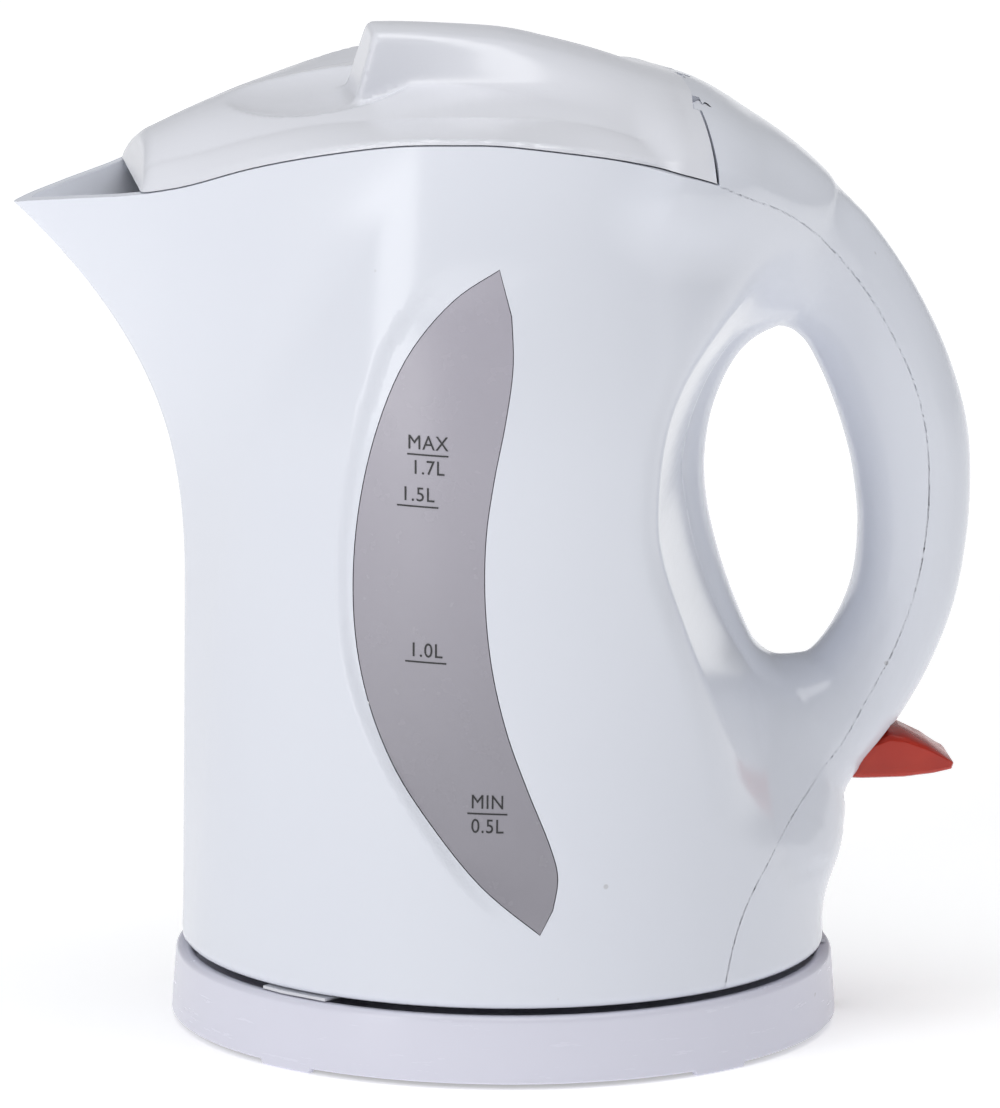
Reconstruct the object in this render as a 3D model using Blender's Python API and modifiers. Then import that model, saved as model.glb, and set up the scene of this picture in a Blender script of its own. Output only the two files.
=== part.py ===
"""Cordless electric kettle: a 1.7 litre plastic jug that lifts off a round power base.

Run with: blender --background --python part.py
Lengths are metres, +Z is up, -X is the spout and +X the handle. Every object is one real piece.
The side outlines are drawn in millimetres for the drawn radius and height below, and are stretched
to BODY_RADIUS and JUG_HEIGHT, so that a taller or wider kettle keeps its pieces together.
"""

import math

import bmesh
import bpy
from mathutils import Vector

MM = 0.001

# ---------------------------------------------------------------- driving sizes
BODY_RADIUS = 78.5 * MM      # jug at its foot
JUG_HEIGHT = 210.0 * MM      # jug foot to the top of the rim
WALL = 3.0 * MM              # jug wall
SKIN = 1.8 * MM              # cover and lid wall
FIT = 0.35 * MM              # gap between pieces that touch
SEAM = 0.4 * MM              # visible gap between lid, cover and body
GRIP_WIDTH = 31.0 * MM       # across the grip, seam to seam

BASE_RADIUS = 81.0 * MM      # power base at the table
BASE_HEIGHT = 17.6 * MM      # rim of the base above the table
BASE_DRAFT = 1.0 * MM        # how much narrower the base is at its rim
BASE_WALL = 2.2 * MM
DECK_DEPTH = 3.4 * MM        # deck below the rim
FOOT_LIFT = 1.3 * MM         # base skirt above the table
FOOT_RADIUS = 6.0 * MM
FOOT_CIRCLE = 63.0 * MM
FOOT_ANGLES = (56.0, 124.0, 236.0, 304.0)
SKIRT_TAB_HALF_ANGLE = 5.5
SKIRT_TAB_ANGLES = (-56.3, -137.7, 56.3, 137.7)
CORD_WIDTH = 7.0 * MM        # cord notch in the base

TOWER_RADIUS = 17.5 * MM     # connector on the base
TOWER_HEIGHT = 13.0 * MM     # above the deck
LIVE_RADIUS = 12.5 * MM      # middle of the outer ring groove
NEUTRAL_RADIUS = 6.5 * MM    # middle of the inner ring groove
GROOVE_WIDTH = 3.2 * MM
BLADE = 1.0 * MM             # contact thickness
EARTH_PIN_RADIUS = 1.6 * MM

JUG_CLEARANCE = 1.4 * MM     # jug edge above the base rim
PLATE_LEVEL = 18.5 * MM      # heater plate above the jug foot
FLOOR_THICKNESS = 3.5 * MM   # jug floor round the heater plate
PLATE_RADIUS = 56.0 * MM
PLATE_DEPTH = 4.0 * MM
PLATE_GAUGE = 0.8 * MM
ELEMENT_RADIUS = 3.2 * MM
ELEMENT_CIRCLE = 40.0 * MM
JUG_FOOT_ANGLES = (180.0 - 42.3, 180.0 + 42.3, 0.0)
JUG_FOOT_HALF_ANGLE = 7.3

PIN_RADIUS = 1.2 * MM        # lid and switch pivot pins
LID_PIVOT = (45.0, 226.0)    # drawn side position
BARREL = 4.3 * MM            # nose of the cover round the lid pivot
EAR_RADIUS = 2.5 * MM
EAR_CENTRE = 16.0 * MM
EAR_WIDTH = 7.0 * MM
SWITCH_PIVOT = (78.0, 62.5)
SWITCH_WIDTH = 20.0 * MM
SCREW_RADIUS = 1.6 * MM
SCREW_ANGLES = (60.0, 180.0, 300.0)
PIN_PLAY = 0.06 * MM         # running clearance of a pin in its bore
CONNECTOR_RADIUS = 22.0 * MM

DRAWN_RADIUS, DRAWN_HEIGHT, DRAWN_FOOT = 78.5, 210.0, 19.0
LEVELS = (32.0, 50.0, 70.0, 90.0, 108.0, 124.0, 139.0, 152.0, 164.0, 176.0, 187.0, 197.0, 206.0, 215.0, 226.0)
AROUND = 44                  # points round a horizontal section

JUG_FOOT = BASE_HEIGHT + JUG_CLEARANCE
REACH_SHIFT = 3.5 * MM * BODY_RADIUS / (DRAWN_RADIUS * MM)  # centres spout and handle on the origin

# ---------------------------------------------------------------- side outlines, drawn in mm
RIM = ((-132.0, 199.5), (-120.5, 204.1), (-108.0, 207.8), (-96.0, 212.0), (-83.5, 217.4),
       (-67.4, 222.2), (-54.0, 225.1), (-38.8, 227.6), (-23.6, 228.8), (-6.6, 228.3),
       (14.0, 225.3), (28.8, 221.6), (43.8, 216.6), (53.0, 211.5), (63.0, 204.5), (76.0, 192.0))
DECK = ((-97.0, 214.5), (-91.0, 218.0), (-85.0, 223.5), (-76.0, 228.0), (-66.0, 231.4),
        (-50.0, 235.0), (-37.0, 236.6), (-20.0, 237.6), (0.0, 237.2), (20.0, 234.6),
        (34.5, 231.8), (43.2, 229.7), (50.0, 226.6))
HUMP = ((-97.0, 214.5), (-91.0, 218.0), (-85.0, 223.0), (-72.0, 226.5), (-60.0, 228.0), (-46.0, 229.0),
        (-38.5, 229.8), (-34.0, 245.4), (-26.0, 246.2), (-16.3, 245.7), (-1.0, 244.3), (10.8, 241.4),
        (22.7, 237.9), (34.5, 233.6), (43.2, 230.2), (50.0, 226.9))
CREASE = ((-97.0, 212.8), (-92.1, 214.1), (-81.2, 222.3), (-67.9, 228.8), (-46.2, 234.2), (-27.0, 236.4),
          (-9.9, 236.8), (4.8, 235.6), (19.9, 231.8), (37.9, 221.6), (50.0, 215.0))
# The widest line of the handle. It is also where the rear cover meets the body.
SEAM_LINE = ((43.8, 216.6), (52.0, 212.0), (62.0, 206.0), (70.0, 199.5), (78.0, 191.0),
             (85.5, 181.5), (92.1, 170.5), (97.0, 160.0), (100.3, 148.5), (101.6, 135.5),
             (101.0, 121.0), (98.3, 106.0), (93.0, 91.5), (86.3, 79.5), (80.5, 70.0),
             (73.2, 62.5), (63.0, 53.0), (55.0, 44.0), (49.5, 33.5), (45.8, 19.0), (45.0, 12.0))
OUTER_LINE = ((36.0, 231.8), (43.8, 229.6), (54.0, 224.3), (64.5, 217.7), (76.5, 208.2), (87.5, 197.3),
              (96.8, 184.5), (104.2, 171.0), (109.2, 158.8), (112.6, 146.0), (113.6, 133.5),
              (112.9, 119.0), (110.0, 102.5), (104.0, 86.3), (95.8, 71.8), (87.6, 60.8),
              (81.0, 51.5), (77.0, 42.0), (74.0, 34.0))
INNER_LINE = ((28.0, 196.0), (38.0, 190.0), (44.0, 184.0), (52.0, 178.0), (58.5, 172.8), (65.5, 171.6),
              (72.0, 167.3), (76.6, 159.6), (80.6, 150.0), (83.6, 140.5), (85.4, 132.0),
              (86.5, 120.0), (85.2, 106.0), (80.5, 94.5), (73.5, 86.3), (66.0, 85.0),
              (58.0, 84.0), (50.0, 80.0), (44.0, 74.0))
HALF_WIDTHS = (65.0, 60.6, 51.5, 38.5, 26.0, 18.0, 15.8, 15.5, 15.5, 15.5, 15.5,
               15.5, 15.5, 15.8, 17.0, 20.0, 25.0, 31.0, 36.0)
REAR_WALL = ((12.0, 78.6), (45.0, 78.5), (60.0, 76.5), (74.0, 70.5), (86.0, 64.0), (97.0, 58.4),
             (108.0, 54.0), (118.0, 50.9), (128.0, 48.7), (138.0, 48.0), (148.0, 49.1),
             (156.0, 51.5), (163.0, 55.0), (172.0, 61.5), (186.0, 69.0), (202.0, 72.0), (240.0, 72.5))
# The scoop on each side of the handle: how far back it starts on the flank, and where it meets the rib.
SCOOP_START = ((12.0, 78.0), (36.0, 77.0), (48.0, 62.0), (60.6, 50.0), (77.6, 44.8), (89.0, 41.0), (107.0, 34.6), (127.0, 27.9),
               (141.0, 27.0), (159.0, 28.7), (174.0, 34.5), (189.0, 45.0), (201.0, 51.5), (240.0, 60.0))
SCOOP_END = ((12.0, 78.6), (36.0, 78.5), (48.0, 77.0), (60.0, 72.5), (75.0, 65.5), (89.5, 57.5), (100.7, 51.0), (117.0, 44.8),
             (133.0, 41.4), (142.0, 41.1), (153.0, 43.6), (165.5, 49.6), (180.0, 60.5), (200.0, 70.0), (240.0, 74.0))
RIB_HALF = 16.0              # half the width of the rib down the back of the jug
VESSEL_REAR = ((12.0, 63.0), (45.0, 63.0), (62.0, 60.5), (80.0, 56.0), (97.0, 50.5),
               (108.0, 47.0), (118.0, 44.0), (128.0, 42.3), (138.0, 41.8), (148.0, 42.6),
               (156.0, 44.6), (163.0, 47.4), (172.0, 52.0), (186.0, 57.5), (202.0, 60.0), (240.0, 61.0))
SWITCH_OUTLINE = ((74.8, 59.4), (86.5, 58.4), (97.0, 58.5), (104.4, 59.3), (108.9, 60.3), (109.4, 61.9),
                  (103.2, 66.3), (97.2, 69.3), (93.4, 69.9), (88.5, 67.4), (84.0, 66.2), (74.8, 65.6))
SWITCH_SLOT = ((79.5, 56.4), (89.0, 54.4), (100.0, 58.0), (104.0, 72.0), (97.5, 73.4), (89.0, 70.6), (79.5, 68.0))
WINDOW_FRONT = ((-10.5, 199.3), (-21.3, 191.4), (-32.2, 177.0), (-39.5, 158.0), (-43.6, 136.0),
                (-44.3, 114.0), (-41.6, 95.0), (-35.5, 78.0), (-26.5, 63.5), (-14.8, 49.0), (-0.8, 37.4))
WINDOW_BACK = ((2.4, 43.5), (3.6, 51.5), (1.4, 60.0), (-4.0, 73.5), (-8.8, 87.0), (-12.3, 102.0),
               (-14.0, 118.0), (-13.9, 134.0), (-12.0, 148.5), (-9.2, 163.0), (-7.4, 176.0), (-7.6, 188.0))


# ---------------------------------------------------------------- curves and sections
def side(point):
    """A drawn side-view point, stretched to the real radius and height, in metres."""
    x, z = point
    return (x * BODY_RADIUS / DRAWN_RADIUS,
            JUG_FOOT + (z - DRAWN_FOOT) * JUG_HEIGHT / DRAWN_HEIGHT)


def spline(values, share):
    """Catmull-Rom value or point at a share of the way through the list."""
    place = min(max(share, 0.0), 1.0) * (len(values) - 1)
    i = min(int(place), len(values) - 2)
    t = place - i
    a, b, c, d = (Vector(values[min(max(k, 0), len(values) - 1)]) for k in (i - 1, i, i + 1, i + 2))
    return 0.5 * (2 * b + (c - a) * t + (2 * a - 5 * b + 4 * c - d) * t * t + (3 * b - a - 3 * c + d) * t ** 3)


def along(values, count):
    return [spline(values, k / (count - 1)) for k in range(count)]


def height_at(line, x):
    """Height of a drawn line that runs along X, at x, both drawn."""
    fine = along(line, 8 * len(line))
    for a, b in zip(fine, fine[1:]):
        if a.x <= x <= b.x:
            return a.y + (b.y - a.y) * (x - a.x) / max(b.x - a.x, 1e-9)
    return fine[0].y if x < fine[0].x else fine[-1].y


def ease(value, low, high):
    t = min(max((value - low) / (high - low), 0.0), 1.0)
    return t * t * (3 - 2 * t)


def spout_reach(z):
    """Front of the jug at a drawn height: upright, then flaring into the spout."""
    return 78.7 + 3.5e-4 * max(0.0, z - 105.0) ** 2.544


def back_of_jug(y, z, inset):
    """How far back the jug reaches at a drawn place across it: the flank's scoop, then the central rib."""
    start, end = height_at(SCOOP_START, z) - inset, height_at(SCOOP_END, z) - inset
    flank = 78.6 * math.sqrt(max(1 - (start / 78.6) ** 2, 0.0))
    rib = height_at(REAR_WALL, z) - inset
    if y >= RIB_HALF:
        return end + (start - end) * (y - RIB_HALF) / (flank - RIB_HALF)
    return rib + (end - rib) * (y / RIB_HALF) ** 3


def section(z, inset=0.0, rear=None, back_inset=0.0, around=AROUND):
    """Horizontal outline of the jug at a drawn height, as (x, y) in drawn mm, inset by a wall.

    rear is a drawn line for how far back the inner vessel reaches, in place of the jug's own back."""
    front = spout_reach(z) - inset
    half = 78.6 - 0.026 * (z - DRAWN_FOOT) - inset
    pointed = 2.0 - 0.9 * ease(z, 120.0, 206.0)
    outline = []
    for k in range(around):
        angle = 2 * math.pi * k / around
        c, s = math.cos(angle), math.sin(angle)
        if c < 0:
            outline.append((front * c, math.copysign(half * abs(s) ** (2 / pointed), s)))
        elif rear is None:
            y = half * abs(s) ** 0.8
            round_x = half * math.sqrt(max(1 - (y / half) ** 2, 0.0))
            outline.append((min(round_x, back_of_jug(y, z, inset)), math.copysign(y, s)))
        else:
            back = height_at(rear, z) - back_inset
            scoop = back_of_jug(half * abs(s), z, max(inset, 1.2))
            outline.append((min(back * abs(c) ** 0.9, scoop), half * s))
    return outline


def half_width(x, z, inset=0.0):
    """Half the jug's width at a drawn side-view point."""
    outline = section(z, inset, around=240)[:121]
    for (x1, y1), (x2, y2) in zip(outline, outline[1:]):
        if x2 <= x <= x1:
            return y1 + (y2 - y1) * (x1 - x) / max(x1 - x2, 1e-9)
    return 0.0


# ---------------------------------------------------------------- making objects
def clear_scene():
    for obj in list(bpy.data.objects):
        bpy.data.objects.remove(obj)


def collection(name):
    made = bpy.data.collections.new(name)
    bpy.context.scene.collection.children.link(made)
    return made


def material(name, colour, roughness, metallic=0.0, alpha=1.0):
    made = bpy.data.materials.new(name)
    made.use_nodes = True
    shader = made.node_tree.nodes["Principled BSDF"]
    shader.inputs["Base Color"].default_value = (*colour, 1.0)
    shader.inputs["Roughness"].default_value = roughness
    shader.inputs["Metallic"].default_value = metallic
    shader.inputs["Alpha"].default_value = alpha
    return made


def place(name, mesh, finish=None):
    """An object in the kettle with its finish, or a cutter that isn't a piece."""
    obj = bpy.data.objects.new(name, mesh)
    if finish:
        KETTLE.objects.link(obj)
        mesh.materials.append(MATERIALS[finish])
        mesh.shade_smooth()
        mesh.set_sharp_from_angle(angle=math.radians(35))
    else:
        CUTTERS.objects.link(obj)
        obj.hide_render = True
        obj.display_type = "WIRE"
    return obj


def mesh_of(bm, name):
    bmesh.ops.recalc_face_normals(bm, faces=bm.faces)
    mesh = bpy.data.meshes.new(name)
    bm.to_mesh(mesh)
    bm.free()
    return mesh


def loft(name, rings, finish=None):
    """A closed solid through rings that have the same number of points."""
    bm = bmesh.new()
    levels = [[bm.verts.new(p) for p in ring] for ring in rings]
    count = len(rings[0])
    for low, high in zip(levels, levels[1:]):
        for k in range(count):
            bm.faces.new((low[k], low[(k + 1) % count], high[(k + 1) % count], high[k]))
    bm.faces.new(levels[0])
    bm.faces.new(levels[-1])
    bmesh.ops.triangulate(bm, faces=[f for f in bm.faces if len(f.verts) > 4])
    return place(name, mesh_of(bm, name), finish)


def solid_of_curve(obj, finish=None):
    """The closed mesh of a curve object, which is removed."""
    bpy.context.view_layer.update()
    graph = bpy.context.evaluated_depsgraph_get()
    mesh = bpy.data.meshes.new_from_object(obj.evaluated_get(graph))
    mesh.transform(obj.matrix_world)
    name = obj.name
    bm = bmesh.new()
    bm.from_mesh(mesh)
    bmesh.ops.remove_doubles(bm, verts=bm.verts, dist=1e-6)
    bpy.data.meshes.remove(mesh)
    bpy.data.objects.remove(obj)
    return place(name, mesh_of(bm, name), finish)


def plate(name, outline, thickness, turn=(0, 0, 0), centre=(0, 0, 0), finish=None):
    """A flat outline in its own XY plane, thickened both ways, then turned and moved."""
    curve = bpy.data.curves.new(name, "CURVE")
    curve.dimensions = "2D"
    curve.fill_mode = "BOTH"
    curve.extrude = thickness / 2
    line = curve.splines.new("POLY")
    line.points.add(len(outline) - 1)
    for point, (x, y) in zip(line.points, outline):
        point.co = (x, y, 0, 1)
    line.use_cyclic_u = True
    obj = bpy.data.objects.new(name, curve)
    bpy.context.scene.collection.objects.link(obj)
    obj.rotation_euler = turn
    obj.location = centre
    return solid_of_curve(obj, finish)


def side_prism(name, outline, half=120 * MM, finish=None):
    """A side-view outline in metres, run straight across the kettle."""
    return plate(name, outline, 2 * half, (math.pi / 2, 0, 0), finish=finish)


def tube(name, points, radius, finish, sides=2):
    curve = bpy.data.curves.new(name, "CURVE")
    curve.dimensions = "3D"
    curve.bevel_depth = radius
    curve.bevel_resolution = sides
    curve.use_fill_caps = True
    line = curve.splines.new("POLY")
    line.points.add(len(points) - 1)
    for point, place_ in zip(line.points, points):
        point.co = (*place_, 1)
    obj = bpy.data.objects.new(name, curve)
    bpy.context.scene.collection.objects.link(obj)
    return solid_of_curve(obj, finish)


def turned(name, profile, finish=None, centre=(0, 0, 0), steps=36):
    """A turned solid from (radius, height) points that run down the outer side, top to bottom."""
    mesh = bpy.data.meshes.new(name)
    bm = bmesh.new()
    verts = [bm.verts.new((r, 0, z)) for r, z in profile]
    for a, b in zip(verts, verts[1:]):
        bm.edges.new((a, b))
    if min(profile[0][0], profile[-1][0]) > 1e-9:
        bm.edges.new((verts[-1], verts[0]))
    bm.to_mesh(mesh)
    bm.free()
    obj = place(name, mesh, finish)
    screw = obj.modifiers.new("turn", "SCREW")
    screw.steps = screw.render_steps = steps
    screw.use_merge_vertices = True
    screw.merge_threshold = 1e-5
    obj.location = centre
    return obj


def block(name, low, high, finish=None, edge=0.0):
    bm = bmesh.new()
    bmesh.ops.create_cube(bm, size=1.0)
    size = [h - l for l, h in zip(low, high)]
    bmesh.ops.scale(bm, vec=size, verts=bm.verts)
    bmesh.ops.translate(bm, vec=[(l + h) / 2 for l, h in zip(low, high)], verts=bm.verts)
    obj = place(name, mesh_of(bm, name), finish)
    if edge:
        bevel = obj.modifiers.new("edge", "BEVEL")
        bevel.width = edge
        bevel.segments = 2
    return obj


def rod(name, radius, start, end, finish=None, sides=24):
    """A round bar between two points."""
    start, end = Vector(start), Vector(end)
    bm = bmesh.new()
    bmesh.ops.create_cone(bm, cap_ends=True, segments=sides, radius1=radius, radius2=radius,
                          depth=(end - start).length)
    turn = (end - start).to_track_quat("Z", "Y").to_matrix()
    bmesh.ops.rotate(bm, matrix=turn, verts=bm.verts)
    bmesh.ops.translate(bm, vec=(start + end) / 2, verts=bm.verts)
    return place(name, mesh_of(bm, name), finish)


def combine(obj, other, operation):
    boolean = obj.modifiers.new(operation.lower(), "BOOLEAN")
    boolean.operation = operation
    boolean.object = other
    boolean.solver = "EXACT"
    return obj


def solve_as_manifold(obj):
    """For the thin crescents between two nearly parallel walls, where the exact solver leaves open edges."""
    for modifier in obj.modifiers:
        if modifier.type == "BOOLEAN":
            modifier.solver = "MANIFOLD"


def cut(obj, *others):
    for other in others:
        combine(obj, other, "DIFFERENCE")
    return obj


def join(obj, *others):
    for other in others:
        combine(obj, other, "UNION")
    return obj


def keep(obj, *others):
    for other in others:
        combine(obj, other, "INTERSECT")
    return obj


# ---------------------------------------------------------------- the jug's solids
def drawn(length):
    """A real length across the jug, in the drawn millimetres of the outlines."""
    return length / BODY_RADIUS * DRAWN_RADIUS


def jug_loft(name, low, high, inset=0.0, rear=None, back_inset=0.0, finish=None):
    """The jug's outline lofted between two drawn heights, inset by a wall."""
    scale = BODY_RADIUS / DRAWN_RADIUS
    rings = []
    for z in [low] + [z for z in LEVELS if low + 1 < z < high - 1] + [high]:
        height = side((0, z))[1]
        rings.append([(x * scale, y * scale, height)
                      for x, y in section(z, drawn(inset), rear, back_inset)])
    return loft(name, rings, finish)


def handle_loft(name, inset=0.0, around=20):
    """The handle ring: sections across it from the lid's end, round the grip, to the jug's foot."""
    rings = []
    for outer, inner, half in zip(OUTER_LINE, INNER_LINE, HALF_WIDTHS):
        outer, inner = Vector(side(outer)), Vector(side(inner))
        middle, reach = (outer + inner) / 2, (outer - inner) / 2
        thick = reach.length - inset
        half = half * GRIP_WIDTH / 31.0 - inset
        ring = []
        for k in range(around):
            angle = 2 * math.pi * k / around
            c, s = math.cos(angle), math.sin(angle)
            across = math.copysign(abs(s) ** 0.85, s) * half
            out = math.copysign(abs(c) ** 0.85, c) * thick
            point = middle + reach.normalized() * out
            ring.append((point.x, across, point.y))
        rings.append(ring)
    return loft(name, rings)


def shifted(line, distance):
    """A drawn side line moved sideways, to its right when walked from its first point."""
    points = [Vector(p) for p in line]
    moved = []
    for k, point in enumerate(points):
        step = points[min(k + 1, len(points) - 1)] - points[max(k - 1, 0)]
        moved.append(point + Vector((step.y, -step.x)).normalized() * distance)
    return moved


def smooth_line(line, count):
    return [side(p) for p in along([Vector(p) for p in line], count)]


def behind_seam(name, gap):
    """Everything behind the seam between the body and the rear cover, moved back by a gap."""
    line = shifted(SEAM_LINE, -drawn(gap))
    outline = smooth_line(line, 40)
    start, end = outline[0], outline[-1]
    corners = [(end[0], -50 * MM), (200 * MM, -50 * MM), (200 * MM, 400 * MM), (start[0], 400 * MM)]
    return side_prism(name, outline + corners)


def above_rim(name, gap):
    outline = smooth_line([Vector(p) + Vector((0, drawn(gap))) for p in RIM], 40)
    corners = [(outline[-1][0], 400 * MM), (-400 * MM, 400 * MM), (-400 * MM, outline[0][1])]
    return side_prism(name, outline + corners)


def window_outline(grow):
    """The water window's side outline, grown or shrunk by a real distance."""
    front = along([Vector(p) for p in WINDOW_FRONT], 16)
    back = along([Vector(p) for p in WINDOW_BACK], 16)
    ring = front + back
    return [side(p) for p in grown(ring, drawn(grow))]


def grown(ring, distance):
    """A closed outline, walked anticlockwise, with every point moved outwards."""
    moved = []
    for k, point in enumerate(ring):
        before, after = ring[k - 1], ring[(k + 1) % len(ring)]
        a = (point - before).normalized()
        b = (after - point).normalized()
        normal = Vector((a.y + b.y, -a.x - b.x)).normalized()
        lean = max(normal.dot(Vector((a.y, -a.x))), 0.35)
        moved.append(point + normal * distance / lean)
    return moved


def lid_loft(name, inset, drop, finish=None):
    """The lid's dome: sections across it from the spout to the rear, with band, deck and hump."""
    scale = BODY_RADIUS / DRAWN_RADIUS
    stations = (-95.5, -90.0, -82.0, -70.0, -56.0, -41.0, -37.5, -33.0, -22.0, -8.0, 8.0, 22.0, 34.0, 46.0)
    wall = drawn(inset)
    rings = []
    for k, x in enumerate(stations):
        rim = height_at(RIM, x)
        width = half_width(min(x, 46.0), rim) - wall
        crease, deck, hump = (height_at(line, x) for line in (CREASE, DECK, HUMP))
        broad = 9.0 + 6.0 * ease(x, -37.0, 44.0)
        half = [(width, rim - drop), (width, rim + 0.5), (width - 1.2, (rim + crease) / 2),
                (width - 4.5, crease - wall), (width * 0.66, (crease + 2.4 * deck) / 3.4 - wall),
                (min(broad + 13, width * 0.5), deck - 0.4 - wall), (min(broad, width * 0.3), hump - 1.0 - wall),
                (0.0, hump - wall)]
        ring = half + [(-y, z) for y, z in reversed(half[:-1])]
        lean = 0.55 if k == 0 else 0.28 if k == 1 else 0.0
        start = x + (wall if k == 0 else 0.0)
        end = start if k < len(stations) - 1 else x + 1.0
        rings.append([((end + lean * max(z - rim, 0.0)) * scale, y * scale, side((0, z))[1]) for y, z in ring])
    return loft(name, rings, finish)



def across(name, radius, point, half, finish=None, sides=24):
    """A round bar across the kettle at a side-view point in metres."""
    x, z = point
    return rod(name, radius, (x, -half, z), (x, half, z), finish, sides)


def behind_body(rooms):
    """What the body leaves to the rear cover: all behind the seam but the vessel's own wall."""
    return cut(behind_seam("cut_seam", -SEAM / 2), rooms)


def build_shells():
    """Body, rear cover and windows, cut from one outer shape."""
    floor = DRAWN_FOOT + PLATE_LEVEL / JUG_HEIGHT * DRAWN_HEIGHT
    under = floor - FLOOR_THICKNESS / JUG_HEIGHT * DRAWN_HEIGHT
    handle, roof = handle_loft("shape_handle"), above_rim("cut_roof", 0.3 * MM)
    outer = join(cut(jug_loft("shape_outer", 19.0, 240.0), roof), handle)
    vessel = jug_loft("shape_vessel", under, 245.0, 0.72 * WALL, VESSEL_REAR, 0.0)
    water = jug_loft("cut_water", floor, 262.0, WALL, VESSEL_REAR, drawn(WALL))
    room = jug_loft("cut_vessel_room", under - 2, 250.0, 0.72 * WALL - FIT, VESSEL_REAR, -drawn(FIT))

    rear_room = join(jug_loft("cut_rear_room", 5.0, 262.0, 0.85 * WALL), handle_loft("cut_handle_room", 0.85 * WALL))
    cut(rear_room, vessel)
    body = join(jug_loft("jug_body", 19.0, 240.0, finish="white"), handle)
    cut(body, rear_room, water, above_rim("cut_rim", 0.0))
    cut(body, behind_body(vessel))
    cut(body, plate("cut_windows", window_outline(0.0), 300 * MM, (math.pi / 2, 0, 0)))
    cut(body, rod("cut_plate_seat", PLATE_RADIUS - 3 * MM, (0, 0, JUG_FOOT), (0, 0, JUG_FOOT + 30 * MM), sides=48))
    solve_as_manifold(rear_room)
    solve_as_manifold(body)

    cover = join(cut(jug_loft("handle_cover", 19.0, 240.0, finish="white"), roof), handle)
    behind = behind_seam("keep_cover", SEAM / 2)
    keep(cover, behind)
    cut(cover, join(cut(jug_loft("cut_cover_hollow", 5.0, 260.0, SKIN), above_rim("cut_low_roof", -SKIN)),
                    handle_loft("cut_cover_hollow_handle", SKIN)))
    cut(cover, cut(room, above_rim("cut_room_top", FIT)))
    add_lid_barrel(cover, outer)
    add_switch_room(cover, outer, behind)
    solve_as_manifold(cover)

    for name, sign in (("water_window_left", -1), ("water_window_right", 1)):
        window = jug_loft(name, 30.0, 206.0, finish="smoke")
        keep(window, plate("keep_" + name, window_outline(-FIT), 100 * MM, (math.pi / 2, 0, 0),
                           (0, sign * 60 * MM, 0)))
        cut(window, water)


def add_lid_barrel(cover, outer):
    """The nose of the cover that the lid turns round, with room for the lid's two ears."""
    x, z = side(LID_PIVOT)
    nose = keep(across("lid_barrel", BARREL, (x, z), 26 * MM, sides=32), outer)
    join(cover, nose)
    front = side((43.3, 0))[0] + SEAM / 2
    clear = block("cut_cover_front", (front - 60 * MM, -90 * MM, z - 60 * MM), (front, 90 * MM, z + 40 * MM))
    cut(cover, cut(clear, across("keep_barrel", BARREL, (x, z), 95 * MM, sides=32)))
    for y in (-EAR_CENTRE, EAR_CENTRE):
        low, high = y - EAR_WIDTH / 2 - FIT, y + EAR_WIDTH / 2 + FIT
        slot = rod("cut_ear_room", EAR_RADIUS + FIT, (x, low, z), (x, high, z))
        join(slot, block("cut_ear_way", (x - 12 * MM, low, z - 4.6 * MM), (x - 0.2 * MM, high, z + 9 * MM)))
        cut(cover, slot)
    cut(cover, across("cut_pin_bore", PIN_RADIUS + PIN_PLAY, (x, z), 23 * MM))


def add_switch_room(cover, outer, behind):
    """The slot for the switch paddle and the two ribs that hold its pin."""
    x, z = side(SWITCH_PIVOT)
    reach = SWITCH_WIDTH / 2
    for sign in (-1, 1):
        low, high = sorted((sign * (reach + 1.0 * MM), sign * 24 * MM))
        rib = block("switch_rib", (x - 3.0 * MM, low, z - 3.5 * MM), (x + 6 * MM, high, z + 3.5 * MM))
        join(cover, keep(rib, outer, behind))
    cut(cover, across("cut_switch_bore", PIN_RADIUS + PIN_PLAY, (x, z), reach + 3.4 * MM))
    cut(cover, side_prism("cut_switch_slot", [side(p) for p in SWITCH_SLOT], reach + 0.5 * MM))


def build_lid():
    """The lid's dome with its two ears, and the liner that closes it underneath."""
    x, z = side(LID_PIVOT)
    lid = lid_loft("lid_top", 0.0, 2.0, "white")
    behind = side((43.3, 0))[0] - SEAM / 2
    rear = block("cut_lid_rear", (behind, -90 * MM, z - 60 * MM), (behind + 60 * MM, 90 * MM, z + 40 * MM))
    cut(lid, rear, across("cut_barrel", BARREL + FIT, (x, z), 90 * MM, sides=32))
    cut(lid, lid_loft("cut_lid_hollow", SKIN, 20.0))
    keep(lid, above_rim("keep_lid", SEAM))
    for y in (-EAR_CENTRE, EAR_CENTRE):
        low, high = y - EAR_WIDTH / 2, y + EAR_WIDTH / 2
        arm = block("lid_arm", (x - 20 * MM, low, z - 2.4 * MM), (x, high, z - 0.4 * MM))
        join(arm, rod("lid_ear", EAR_RADIUS, (x, low, z), (x, high, z)))
        join(arm, block("lid_arm_root", (x - 20 * MM, low, z - 2.2 * MM), (x - 7.0 * MM, high, z + 5.5 * MM)))
        join(lid, arm)
    cut(lid, across("cut_ear_bore", PIN_RADIUS + PIN_PLAY, (x, z), 30 * MM))
    pin = across("lid_hinge_pin", PIN_RADIUS, (x, z), 22.7 * MM, "steel")

    wall = WALL + 1.2 * MM
    liner = jug_loft("lid_liner", 190.0, 250.0, wall, VESSEL_REAR, drawn(wall), "white_inner")
    cut(liner, above_rim("cut_liner_top", -2.0 * MM))
    keep(liner, above_rim("keep_liner", -6.5 * MM))
    low, high = side((-90.0, 0))[0], side((36.0, 0))[0]
    keep(liner, block("keep_liner_length", (low, -90 * MM, 0), (high, 90 * MM, 400 * MM)))
    return [lid, liner], pin


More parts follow.
